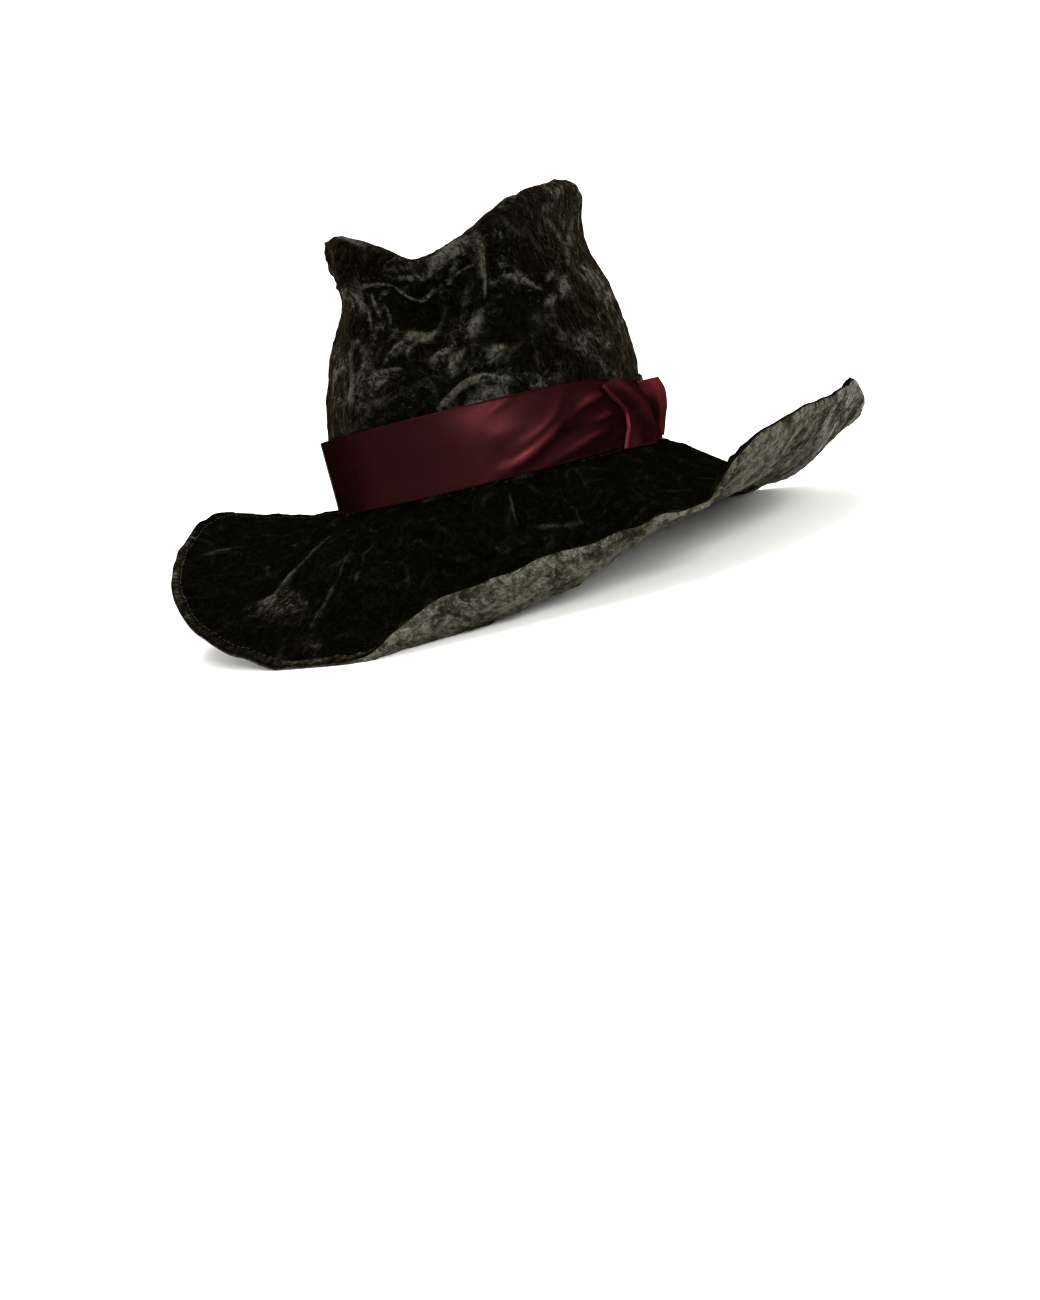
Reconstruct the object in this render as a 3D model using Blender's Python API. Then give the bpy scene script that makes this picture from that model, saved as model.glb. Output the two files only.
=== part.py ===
"""A crushed-velvet fedora with a tall soft crown, a wide wavy brim and a satin ribbon, standing on its brim.

The front of the hat looks along -Y and the wearer's left is +X. The origin lies on the surface that the hat
stands on, under the middle of the crown. An azimuth is in degrees from the front towards the wearer's left.
Lengths are in metres. The tables hold their lengths as shares of the named sizes.
"""
from collections import namedtuple

import bpy
import numpy as np

# Crown: outside sizes at its foot, and the height from the foot to the highest point of the rim
CROWN_LENGTH = 0.206
CROWN_WIDTH = 0.172
CROWN_HEIGHT = 0.152
CROWN_WALL = 0.0020

# Top of the crown: radius of the rolled rim, and how far the middle sinks below the rim's highest point
RIM_ROLL = 0.0075
CENTRE_DENT = 0.040

# Brim: its width is measured along the cloth, from the crown to the edge. The deepest folds press flat by
# this much where the hat rests on them.
BRIM_WIDTH = 0.126
BRIM_PLY = 0.0012
REST_PRESS = 0.0040

# Ribbon: its lower edge lifts off the brim, and it lies round the crown with a little slack
RIBBON_WIDTH = 0.040
RIBBON_THICKNESS = 0.0008
RIBBON_LIFT = 0.0010
RIBBON_SLACK = 0.0007

# Flat bow: its azimuth, how far its ribbon can stand off the band, and the share of its stand that the wrap
# keeps at its two edges
BOW_AZIMUTH = 105.0
BOW_STAND = 0.0120
WRAP_EDGE = 0.35

# Clearance between neighbouring pieces of cloth
CLOTH_GAP = 0.0003

# Colours, as linear red, green and blue, and roughness of the cloths
UPPER_VELVET = (0.012, 0.012, 0.008)
FACING_VELVET = (0.055, 0.055, 0.045)
MAROON_SATIN = (0.070, 0.008, 0.010)
VELVET_ROUGHNESS = 0.75
SATIN_ROUGHNESS = 0.40

# Faces round the hat, and faces or points along each section
AROUND = 72
CROWN_ROWS = 11
ROLL_ROWS = 3
TOP_ROWS = 4
BRIM_ROWS = 8
RIBBON_ROWS = 4
WRAP_ROWS = 9
WRAP_COLUMNS = 6
LOOP_COLUMNS = 22
TAIL_COLUMNS = 6
BOW_ROWS = 4

# Steps of the sum along the brim's cloth for each row of its faces
FINE_STEPS = 6

# Which side of a surface its cloth lies on: all behind the faces, or half on each side
BEHIND = -1
HALF_EACH_SIDE = 0

BrimFold = namedtuple("BrimFold", "azimuth reach root waist roll edge")
# reach is a share of BRIM_WIDTH. The rest are the slopes of the cloth in degrees, down positive, at the
# BRIM_KNOTS, which are shares of the way from the crown to the edge.
BRIM_KNOTS = np.array([0.0, 0.33, 0.66, 1.0])
BRIM_FOLDS = [
    BrimFold(-150, 0.90, 30, 40, 30, 5),
    BrimFold(-120, 0.90, 10, 15, 10, -15),
    BrimFold(-95, 0.92, 10, 10, -5, -30),
    BrimFold(-70, 0.94, 5, 15, -10, -40),
    BrimFold(-50, 0.88, 10, 10, -5, -30),
    BrimFold(-30, 0.84, 15, 20, 0, -20),
    BrimFold(-15, 0.84, 20, 30, 15, 0),
    BrimFold(-4, 0.84, 25, 35, 25, 10),
    BrimFold(10, 0.88, 30, 40, 35, 10),
    BrimFold(22, 0.94, 35, 50, 25, -25),
    BrimFold(35, 1.02, 35, 55, 5, -70),
    BrimFold(50, 1.00, 35, 50, 0, -65),
    BrimFold(58, 0.98, 30, 40, 0, -45),
    BrimFold(64, 0.94, 25, 35, 0, -30),
    BrimFold(70, 0.92, 25, 25, 5, -20),
    BrimFold(76, 0.98, 20, 30, -10, -45),
    BrimFold(85, 1.05, 20, 30, -20, -60),
    BrimFold(97, 1.08, 20, 30, -25, -55),
    BrimFold(110, 1.12, 20, 35, -25, -60),
    BrimFold(122, 1.12, 20, 40, -25, -45),
    BrimFold(135, 1.04, 30, 35, -15, -25),
    BrimFold(150, 0.98, 35, 40, 0, -25),
    BrimFold(170, 0.90, 35, 45, 30, 0),
    BrimFold(190, 0.90, 35, 45, 30, 0),
]

BrimRidge = namedtuple("BrimRidge", "azimuth spread middle length rise")
# A ridge raised in the brim: azimuth and spread are in degrees, middle and length are shares of the way from
# the crown to the edge, and rise is a share of BRIM_WIDTH. A negative rise is a hollow.
BRIM_RIDGES = [
    BrimRidge(-7, 7, 0.45, 0.28, 0.040),
    BrimRidge(-26, 10, 0.55, 0.30, -0.016),
    BrimRidge(-44, 8, 0.70, 0.24, 0.014),
]

CrownSection = namedtuple("CrownSection", "azimuth rim belly shoulder neck lip")
# rim is a share of CROWN_HEIGHT. The rest are shares of the foot's radius, at the CROWN_KNOTS, which are
# shares of the way up from the foot.
CROWN_KNOTS = np.array([0.0, 0.35, 0.62, 0.86, 1.0])
CROWN_SECTIONS = [
    CrownSection(-160, 0.98, 0.97, 0.89, 0.83, 0.85),
    CrownSection(-120, 0.94, 0.96, 0.87, 0.79, 0.81),
    CrownSection(-85, 0.88, 0.96, 0.86, 0.77, 0.78),
    CrownSection(-60, 0.89, 0.955, 0.83, 0.67, 0.66),
    CrownSection(-37, 0.965, 0.955, 0.845, 0.665, 0.675),
    CrownSection(-15, 0.965, 0.95, 0.83, 0.695, 0.73),
    CrownSection(2, 0.935, 0.96, 0.86, 0.78, 0.79),
    CrownSection(16, 0.875, 0.97, 0.86, 0.77, 0.80),
    CrownSection(31, 0.80, 0.97, 0.85, 0.75, 0.78),
    CrownSection(50, 0.83, 0.98, 0.88, 0.79, 0.82),
    CrownSection(72, 0.915, 0.98, 0.90, 0.83, 0.86),
    CrownSection(100, 0.97, 0.99, 0.92, 0.83, 0.86),
    CrownSection(128, 1.00, 0.995, 0.94, 0.825, 0.865),
    CrownSection(160, 0.995, 0.985, 0.91, 0.83, 0.86),
]

Dent = namedtuple("Dent", "azimuth height spread rise depth")
# height and rise are shares of the way up the crown, spread is in degrees, and depth is a share of
# CROWN_WIDTH. A negative depth is a swelling.
CROWN_DENTS = [
    Dent(34, 0.74, 15, 0.16, 0.030),
    Dent(-56, 0.74, 16, 0.18, 0.030),
    Dent(52, 0.36, 16, 0.05, 0.016),
    Dent(56, 0.22, 18, 0.08, -0.012),
    Dent(85, 0.62, 14, 0.12, 0.010),
    Dent(5, 0.45, 12, 0.16, -0.012),
    Dent(175, 0.60, 24, 0.20, 0.014),
    Dent(-130, 0.50, 20, 0.20, -0.014),
]

RibbonStation = namedtuple("RibbonStation", "azimuth upright")
# upright says how far the ribbon's top edge stands off the tapering crown: 1 keeps the ribbon upright
RIBBON_STATIONS = [
    RibbonStation(-110, 0.6),
    RibbonStation(-40, 1.0),
    RibbonStation(20, 0.7),
    RibbonStation(80, 0.4),
    RibbonStation(130, 0.3),
    RibbonStation(200, 0.4),
]

WrapRow = namedtuple("WrapRow", "height left right stand")
# height is a share of RIBBON_WIDTH, left and right are degrees from BOW_AZIMUTH, and stand is a share of
# BOW_STAND
BOW_WRAP = [
    WrapRow(0.02, -6.5, 7.0, 0.00),
    WrapRow(0.25, -4.5, 10.0, 0.36),
    WrapRow(0.55, -6.0, 9.5, 0.48),
    WrapRow(0.80, -10.5, 6.0, 0.38),
    WrapRow(0.98, -14.5, 1.0, 0.00),
]

LoopPoint = namedtuple("LoopPoint", "turn stand low high")
# turn is in degrees from BOW_AZIMUTH, stand is a share of BOW_STAND, and low and high are the ribbon's edges
# as shares of RIBBON_WIDTH
BOW_LOOP = [
    LoopPoint(12.0, 0.00, 0.18, 0.86),
    LoopPoint(14.5, 0.52, 0.15, 0.86),
    LoopPoint(20.0, 0.80, 0.12, 0.82),
    LoopPoint(25.0, 0.76, 0.11, 0.78),
    LoopPoint(29.5, 0.52, 0.11, 0.76),
    LoopPoint(29.0, 0.24, 0.12, 0.76),
    LoopPoint(24.5, 0.04, 0.14, 0.80),
    LoopPoint(16.0, 0.00, 0.15, 0.84),
]
BOW_TAIL = [
    LoopPoint(12.0, 0.00, 0.00, 0.10),
    LoopPoint(19.0, 0.24, -0.01, 0.09),
    LoopPoint(27.0, 0.50, -0.03, 0.08),
    LoopPoint(36.0, 0.50, -0.05, 0.07),
]


def smooth_through(x, knots, values):
    """Cubic through the knots that never overshoots them. The last axis of values runs along the knots."""
    x = np.broadcast_to(x, values.shape[:-1] + np.shape(x)[-1:])
    step = np.diff(knots)
    slope = np.diff(values, axis=-1) / step
    before, after = slope[..., :-1], slope[..., 1:]
    rising = before * after > 0
    mean = np.where(rising, 2 * before * after / np.where(rising, before + after, 1), 0)
    tangent = np.concatenate([slope[..., :1], mean, slope[..., -1:]], axis=-1)
    i = np.clip(np.searchsorted(knots, x, side="right") - 1, 0, len(step) - 1)
    t = (x - knots[i]) / step[i]
    start, end = np.take_along_axis(values, i, -1), np.take_along_axis(values, i + 1, -1)
    leave, arrive = np.take_along_axis(tangent, i, -1), np.take_along_axis(tangent, i + 1, -1)
    line = start * (1 + 2 * t) * (1 - t) ** 2 + end * t**2 * (3 - 2 * t)
    return line + (leave * t * (1 - t) ** 2 + arrive * t**2 * (t - 1)) * step[i]


def column(table, name):
    """One column of a table of named rows."""
    return np.array([getattr(row, name) for row in table], float)


def round_hat(azimuth, table, name):
    """One column of a table with an azimuth in each row, read smoothly right round the hat."""
    stations, values = column(table, "azimuth"), column(table, name)
    knots = np.concatenate([stations[-2:] - 360, stations, stations[:2] + 360])
    values = np.concatenate([values[-2:], values, values[:2]])
    return smooth_through((azimuth - stations[0]) % 360 + stations[0], knots, values)


def evenly(table, count):
    """Each column of a table, read smoothly at even steps from its first row to its last."""
    steps, path = np.linspace(0, 1, count), np.linspace(0, 1, len(table))
    return [smooth_through(steps, path, column(table, name)) for name in table[0]._fields]


def turned(azimuth, centre):
    """Degrees from a centre to an azimuth, the short way round."""
    return (azimuth - centre + 180) % 360 - 180


def place(azimuth, radius, height):
    """Points from an azimuth, a radius and a height."""
    angle = np.radians(azimuth)
    return np.stack(np.broadcast_arrays(np.sin(angle) * radius, -np.cos(angle) * radius, height), axis=-1)


def foot_radius(azimuth):
    """Radius of the outside of the crown at its foot, an oval."""
    angle = np.radians(azimuth)
    half_length, half_width = CROWN_LENGTH / 2, CROWN_WIDTH / 2
    return half_length * half_width / np.hypot(half_width * np.cos(angle), half_length * np.sin(angle))


def brim_section(azimuth, rows):
    """Outward run and drop of the brim's underside: its slope, added up along the cloth."""
    slopes = np.stack([round_hat(azimuth, BRIM_FOLDS, name) for name in BrimFold._fields[2:]], axis=-1)
    steps = rows * FINE_STEPS
    along = (np.arange(steps) + 0.5) / steps
    angle = np.radians(smooth_through(along, BRIM_KNOTS, slopes))
    step = (BRIM_WIDTH * round_hat(azimuth, BRIM_FOLDS, "reach") / steps)[:, None]
    run = np.cumsum(np.cos(angle) * step, axis=1)[:, FINE_STEPS - 1 :: FINE_STEPS]
    drop = np.cumsum(np.sin(angle) * step, axis=1)[:, FINE_STEPS - 1 :: FINE_STEPS]
    return np.pad(run, ((0, 0), (1, 0))), np.pad(drop, ((0, 0), (1, 0)))


def brim_ridges(azimuth, along):
    """Height that the ridges add to the brim: each falls away like a bell curve across and along itself."""
    height = np.zeros((len(azimuth), len(along)))
    for ridge in BRIM_RIDGES:
        across = turned(azimuth, ridge.azimuth)[:, None] / ridge.spread
        run = (along - ridge.middle) / ridge.length
        height += ridge.rise * BRIM_WIDTH * np.exp(-(across**2) - run**2)
    return height


def seam_height():
    """Height of the crown's foot, from the deepest fold of the brim, which presses flat where it rests."""
    drop = brim_section(np.arange(0.0, 360.0, 360 / AROUND), BRIM_ROWS)[1]
    return drop.max() - REST_PRESS


def brim_underside(azimuth, rows):
    """Underside of the brim, a grid of points that lies flat where it would reach below the surface."""
    run, drop = brim_section(azimuth, rows)
    radius = foot_radius(azimuth)[:, None] + CLOTH_GAP + run
    height = seam_height() - drop + brim_ridges(azimuth, np.linspace(0, 1, rows + 1))
    return place(azimuth[:, None], radius, np.maximum(height, 0))


def grid_normals(points):
    """Unit normals of a grid that closes round its first axis, upwards on a level sheet."""
    around = np.roll(points, -1, axis=0) - np.roll(points, 1, axis=0)
    along = np.gradient(points, axis=1)
    normal = np.cross(along, around)
    return normal / np.linalg.norm(normal, axis=-1, keepdims=True)


def rim_height(azimuth):
    """Height of the top of the crown's rolled rim above the crown's foot."""
    return CROWN_HEIGHT * round_hat(azimuth, CROWN_SECTIONS, "rim")


def crown_radius(azimuth, share):
    """Radius of the crown's outside at a share of the way up to its lip: sections with dents pressed in."""
    parts = [round_hat(azimuth, CROWN_SECTIONS, name) for name in CrownSection._fields[2:]]
    shares = np.stack([np.ones_like(azimuth)] + parts, axis=-1)
    radius = foot_radius(azimuth)[:, None] * smooth_through(share, CROWN_KNOTS, shares)
    for dent in CROWN_DENTS:
        turn = turned(azimuth, dent.azimuth)[:, None] / dent.spread
        climb = (share - dent.height) / dent.rise
        radius = radius - dent.depth * CROWN_WIDTH * np.exp(-(turn**2) - climb**2)
    return radius


def crown_surface(azimuth):
    """Outside of the crown: up the side, over a half circle at the rim and down into the centre dent.

    The dent's floor is level in the middle, and rises to the roll as the square of the way out.
    """
    foot = seam_height()
    rim = foot + rim_height(azimuth)[:, None]
    share = np.linspace(0, 1, CROWN_ROWS)
    side = place(azimuth[:, None], crown_radius(azimuth, share), foot + (rim - RIM_ROLL - foot) * share)

    turn = np.linspace(0, np.pi, ROLL_ROWS + 1)[1:]
    lip = crown_radius(azimuth, np.array([1.0]))
    roll = place(azimuth[:, None], lip - RIM_ROLL * (1 - np.cos(turn)), rim - RIM_ROLL * (1 - np.sin(turn)))

    inward = np.linspace(0, 1, TOP_ROWS + 1)[1:-1]
    floor = foot + CROWN_HEIGHT - CENTRE_DENT
    x, y, z = (roll[:, -1:, k] for k in range(3))
    top = np.stack([x * (1 - inward), y * (1 - inward**2), floor + (z - floor) * (1 - inward) ** 2], axis=-1)
    return np.concatenate([side, roll, top], axis=1), (0, 0, floor)


def ribbon_foot():
    """Height of the ribbon's lower edge above the crown's foot, just clear of the brim."""
    return 2 * BRIM_PLY + CLOTH_GAP + RIBBON_LIFT


def ribbon_radius(azimuth, share):
    """Radius inside the ribbon at shares of its width, between hugging the crown and standing upright."""
    height = ribbon_foot() + RIBBON_WIDTH * np.broadcast_to(share, (len(azimuth), np.shape(share)[-1]))
    hugging = crown_radius(azimuth, height / (rim_height(azimuth)[:, None] - RIM_ROLL))
    upright = round_hat(azimuth, RIBBON_STATIONS, "upright")[:, None]
    stand = np.maximum(foot_radius(azimuth)[:, None] - hugging, 0) * upright
    return hugging + stand + RIBBON_SLACK + CLOTH_GAP


def ribbon_strip(turn, share, stand):
    """Middle of a bow ribbon's cloth: turned from the bow's azimuth, up the band's width and off the band."""
    azimuth = BOW_AZIMUTH + turn
    band = ribbon_radius(azimuth, share[:, None])[:, 0] + RIBBON_THICKNESS
    radius = band + CLOTH_GAP + RIBBON_THICKNESS / 2 + stand
    return place(azimuth, radius, seam_height() + ribbon_foot() + RIBBON_WIDTH * share)


def grid_faces(columns, rows, closed):
    """Quads of a grid stored column by column, which may close round its columns."""
    a, b = np.meshgrid(np.arange(columns if closed else columns - 1), np.arange(rows - 1), indexing="ij")
    a, b = a.ravel(), b.ravel()
    ahead = (a + 1) % columns
    return np.stack([a * rows + b, ahead * rows + b, ahead * rows + b + 1, a * rows + b + 1], axis=-1)


def cloth(name, points, closed, thickness, side, material, pole=None):
    """A piece of cloth: the surface of a grid of points, closed by a pole if it has one, and thickened."""
    columns, rows = points.shape[:2]
    vertices = points.reshape(-1, 3).tolist()
    faces = grid_faces(columns, rows, closed).tolist()
    if pole is not None:
        vertices.append(pole)
        ends = [column * rows + rows - 1 for column in range(columns)]
        faces += [[ends[k], ends[(k + 1) % columns], columns * rows] for k in range(columns)]
    mesh = bpy.data.meshes.new(name)
    mesh.from_pydata(vertices, [], faces)
    mesh.shade_smooth()
    piece = bpy.data.objects.new(name, mesh)
    bpy.context.collection.objects.link(piece)
    wall = piece.modifiers.new("wall", "SOLIDIFY")
    wall.thickness = thickness
    wall.offset = side
    mesh.materials.append(material)
    return piece


def cloth_material(name, colour, roughness):
    """A plain cloth finish."""
    material = bpy.data.materials.new(name)
    material.use_nodes = True
    shader = material.node_tree.nodes["Principled BSDF"]
    shader.inputs["Base Color"].default_value = (*colour, 1)
    shader.inputs["Roughness"].default_value = roughness
    shader.inputs["Metallic"].default_value = 0
    return material


def make_crown(azimuth, velvet):
    """The crown: one hollow wall, open below."""
    surface, pole = crown_surface(azimuth)
    cloth("crown", surface, True, CROWN_WALL, BEHIND, velvet, pole)


def make_brim(azimuth, upper_velvet, facing_velvet):
    """The brim's two plies, each thickened upwards from its own underside."""
    underside = brim_underside(azimuth, BRIM_ROWS)
    upper_side = underside + grid_normals(underside) * (BRIM_PLY + CLOTH_GAP)
    cloth("brim_facing", underside, True, BRIM_PLY, BEHIND, facing_velvet)
    cloth("brim_upper", upper_side, True, BRIM_PLY, BEHIND, upper_velvet)


def make_ribbon_band(azimuth, satin):
    """The ribbon round the foot of the crown."""
    share = np.linspace(0, 1, RIBBON_ROWS)
    radius = ribbon_radius(azimuth, share) + RIBBON_THICKNESS
    surface = place(azimuth[:, None], radius, seam_height() + ribbon_foot() + RIBBON_WIDTH * share)
    cloth("ribbon_band", surface, True, RIBBON_THICKNESS, BEHIND, satin)


def make_bow_wrap(satin):
    """The ribbon wrapped over the band: it arches out between its two edges."""
    height, left, right, stand = evenly(BOW_WRAP, WRAP_ROWS)
    strips = []
    for across in np.linspace(0, 1, WRAP_COLUMNS):
        arch = WRAP_EDGE + (1 - WRAP_EDGE) * np.sin(np.pi * across)
        strips.append(ribbon_strip(left + (right - left) * across, height, BOW_STAND * stand * arch))
    cloth("bow_wrap", np.array(strips), False, RIBBON_THICKNESS, HALF_EACH_SIDE, satin)


def make_bow_ribbon(name, table, columns, satin):
    """A length of ribbon that stands off the band along a path given by a table."""
    turn, stand, low, high = evenly(table, columns)
    strips = []
    for share in np.linspace(0, 1, BOW_ROWS):
        strips.append(ribbon_strip(turn, low + (high - low) * share, BOW_STAND * stand))
    surface = np.array(strips).transpose(1, 0, 2)
    cloth(name, surface, False, RIBBON_THICKNESS, HALF_EACH_SIDE, satin)


def main():
    """Clear the scene and build the hat."""
    for old in list(bpy.data.objects):
        bpy.data.objects.remove(old)
    upper_velvet = cloth_material("velvet_upper", UPPER_VELVET, VELVET_ROUGHNESS)
    facing_velvet = cloth_material("velvet_facing", FACING_VELVET, VELVET_ROUGHNESS)
    satin = cloth_material("maroon_satin", MAROON_SATIN, SATIN_ROUGHNESS)
    azimuth = np.arange(0.0, 360.0, 360 / AROUND)
    make_crown(azimuth, upper_velvet)
    make_brim(azimuth, upper_velvet, facing_velvet)
    make_ribbon_band(azimuth, satin)
    make_bow_wrap(satin)
    make_bow_ribbon("bow_loop", BOW_LOOP, LOOP_COLUMNS, satin)
    make_bow_ribbon("bow_tail", BOW_TAIL, TAIL_COLUMNS, satin)


main()
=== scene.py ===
"""Dresses the fedora in its cloth: crushed velvet over the crown and brim, a satin ribbon with a flat bow.

The front of the hat looks along -Y and the wearer's left is +X. An azimuth is in degrees from the front
towards the wearer's left. Lengths are in metres, and where a table or a name says so, in millimetres.
"""
from collections import namedtuple

import bpy
import numpy as np
from mathutils import Matrix, Vector


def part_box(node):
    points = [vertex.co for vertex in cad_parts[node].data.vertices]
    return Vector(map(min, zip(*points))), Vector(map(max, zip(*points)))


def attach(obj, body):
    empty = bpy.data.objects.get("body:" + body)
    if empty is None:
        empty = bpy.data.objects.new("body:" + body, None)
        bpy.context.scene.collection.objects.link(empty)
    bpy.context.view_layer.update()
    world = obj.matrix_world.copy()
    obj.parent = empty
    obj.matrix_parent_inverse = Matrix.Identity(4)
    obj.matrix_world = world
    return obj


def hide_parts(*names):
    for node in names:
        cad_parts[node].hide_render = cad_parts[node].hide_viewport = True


bl_info = {
    "name": "Crushed-velvet fedora",
    "version": (1, 0, 0),
    "blender": (4, 5, 0),
    "location": "3D View > Sidebar > Fedora",
    "description": "Cloth, ribbon and stage for a crushed-velvet fedora",
    "category": "Object",
}

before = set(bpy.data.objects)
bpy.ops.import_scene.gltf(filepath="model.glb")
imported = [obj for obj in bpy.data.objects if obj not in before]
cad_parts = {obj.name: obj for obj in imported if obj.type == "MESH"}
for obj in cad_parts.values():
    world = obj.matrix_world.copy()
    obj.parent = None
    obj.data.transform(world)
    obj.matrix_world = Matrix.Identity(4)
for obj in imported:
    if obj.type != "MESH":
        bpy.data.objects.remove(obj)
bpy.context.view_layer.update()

MM = 0.001

# Columns of the grids lie closer together towards this azimuth, by up to this share.
CREASED_SIDE = 45
CROWDING = 0.45
# Columns round the hat and rows along each cloth. The hidden side of a cloth has few rows.
CROWN_COLUMNS = 540
CROWN_SIDE_ROWS = 124
CROWN_ROLL_ROWS = 18
CROWN_TOP_ROWS = 30
CROWN_INSIDE_ROWS = 10
BRIM_COLUMNS = 720
BRIM_FINE_ROWS = 100
BRIM_EDGE_ROWS = 6
BRIM_HIDDEN_ROWS = 12
BRIM_STEPS = 400
BAND_COLUMNS = 720
BAND_ROWS = 30
STITCH_SIDES = 8
STITCH_RINGS = 4
WRAP_COLUMNS = 90
WRAP_ROWS = 64
LOOP_COLUMNS = 120
LOOP_ROWS = 40
TAIL_COLUMNS = 40
TAIL_ROWS = 8

# Random draws of the noises
CROWN_SEED = 3
UPPER_SEED = 7
FACING_SEED = 19
EDGE_SEED = 31
NOISE_CELLS = 256
NOISE_GAIN = 1.6

# Crushed ridges have these spacings and shares of the height, on cloth that is pushed about by a wide noise.
CRUSH_RIDGES = ((0.020, 0.5), (0.0095, 0.32), (0.0048, 0.18))
CRUSH_PUSH = 0.006
CRUSH_PUSH_SPACING = 0.022
CRUSH_SHARPNESS = 2.2
CRUSH_ROUNDING = 0.6
CREASE_END = 0.35

# Waves along the brim's edge, from where they start to the edge itself
RIPPLE_SPACING = 0.016
RIPPLE_RING = 0.2
RIPPLE_START = 0.75
# The hem's fold, the groove that its seam presses, and the cloth puckered between stitches
HEM_RISE = 0.35 * MM
HEM_SPREAD = 2 * MM
SEAM_DEPTH = 0.55 * MM
SEAM_SPREAD = 1 * MM
PUCKER_RISE = 0.30 * MM
PUCKER_SPREAD = 5 * MM
PUCKERS = 210
PUCKER_DRIFT = 3
PUCKER_DRIFT_SPACING = 0.02
# The brim's creases are laid out on a circle halfway along it, whose radius is this many half crown widths.
BRIM_MIDDLE = 1.7 * 1.05
# Painted shade over the brim's top: how far its pile is darkened, everywhere but in its patches
BRIM_TOP_PAINTED_SHADE = 0.75
# Least and greatest height of a crease: shares of the cloth's thickness inwards, and lengths outwards
CROWN_GROOVE = 0.8
CROWN_FOLD = 3 * MM
BRIM_GROOVE = 0.7
BRIM_FOLD = 2.5 * MM
# How much a cloth's ridges count in how far it stands up, and the height of crease that stands it up fully.
# The velvet gets a painted highlight where its cloth stands up.
CROWN_LIFT = (0.3, 2.2 * MM)
BRIM_LIFT = (0.24, 3.6 * MM)
HIDDEN_LIFT = 0.3
# The crown turns rough from just under the ribbon's top edge to just over it. In the middle of its top, from
# this share of the way up on, it keeps little of that.
CROWN_ROUGH_FROM = -0.02
CROWN_ROUGH_TO = 0.05
CROWN_TOP_FROM = 1.45
CROWN_TOP_LOSS = 0.85
# A stitch's half length is a share of the pitch. The rest are its half width and how far it stands proud.
STITCH_HALF_LENGTH = 0.36
STITCH_HALF_WIDTH = 0.28 * MM
STITCH_PROUD = 0.1 * MM

# The ribbon is gathered in to the bow round this azimuth, by this share of its width.
GATHER_AZIMUTH = 121
GATHER_SPREAD = 29
GATHER_SHARE = 0.18
# Its gathers can sink by this share of its slack. Level ribbon has this lift, from 0 to 1, and a gather of
# the last height would add 1 to it. The satin is painted with shade where the lift is low and with a
# highlight where it is high.
GATHER_GROOVE = 0.6
GATHER_LEVEL_LIFT = 0.6
GATHER_FULL = 5 * MM

# Heights that the fine cloth takes from the solids that it covers
CROWN_LOW, CROWN_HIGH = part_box("crown")
BAND_LOW, BAND_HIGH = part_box("ribbon_band")

# Shape of the hat. These tables are those of the solids, with their lengths as shares of the named sizes, but
# only the cloth has the last three ridges of the brim, the bow's fine shape, the creases and the patches.
BrimFold = namedtuple("BrimFold", "azimuth reach root waist roll edge")
# reach is a share of the brim's width. The rest are the slopes of the cloth in degrees, down positive, at
# the BRIM_KNOTS, which are shares of the way from the crown to the edge.
BRIM_KNOTS = np.array([0.0, 0.33, 0.66, 1.0])
BRIM_FOLDS = [
    BrimFold(-150, 0.90, 30, 40, 30, 5),
    BrimFold(-120, 0.90, 10, 15, 10, -15),
    BrimFold(-95, 0.92, 10, 10, -5, -30),
    BrimFold(-70, 0.94, 5, 15, -10, -40),
    BrimFold(-50, 0.88, 10, 10, -5, -30),
    BrimFold(-30, 0.84, 15, 20, 0, -20),
    BrimFold(-15, 0.84, 20, 30, 15, 0),
    BrimFold(-4, 0.84, 25, 35, 25, 10),
    BrimFold(10, 0.88, 30, 40, 35, 10),
    BrimFold(22, 0.94, 35, 50, 25, -25),
    BrimFold(35, 1.02, 35, 55, 5, -70),
    BrimFold(50, 1.00, 35, 50, 0, -65),
    BrimFold(58, 0.98, 30, 40, 0, -45),
    BrimFold(64, 0.94, 25, 35, 0, -30),
    BrimFold(70, 0.92, 25, 25, 5, -20),
    BrimFold(76, 0.98, 20, 30, -10, -45),
    BrimFold(85, 1.05, 20, 30, -20, -60),
    BrimFold(97, 1.08, 20, 30, -25, -55),
    BrimFold(110, 1.12, 20, 35, -25, -60),
    BrimFold(122, 1.12, 20, 40, -25, -45),
    BrimFold(135, 1.04, 30, 35, -15, -25),
    BrimFold(150, 0.98, 35, 40, 0, -25),
    BrimFold(170, 0.90, 35, 45, 30, 0),
    BrimFold(190, 0.90, 35, 45, 30, 0),
]

BrimRidge = namedtuple("BrimRidge", "azimuth spread middle length rise")
# azimuth and spread are in degrees, middle and length are shares of the way from the crown to the edge, and
# rise is a share of the brim's width
BRIM_RIDGES = [
    BrimRidge(-7, 7, 0.45, 0.28, 0.040),
    BrimRidge(-26, 10, 0.55, 0.30, -0.016),
    BrimRidge(-44, 8, 0.70, 0.24, 0.014),
    BrimRidge(-62, 13, 1.00, 0.30, 0.085),
    BrimRidge(-92, 14, 1.00, 0.30, -0.050),
    BrimRidge(113, 9, 1.00, 0.24, 0.065),
]

CrownSection = namedtuple("CrownSection", "azimuth rim belly shoulder neck lip")
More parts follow.
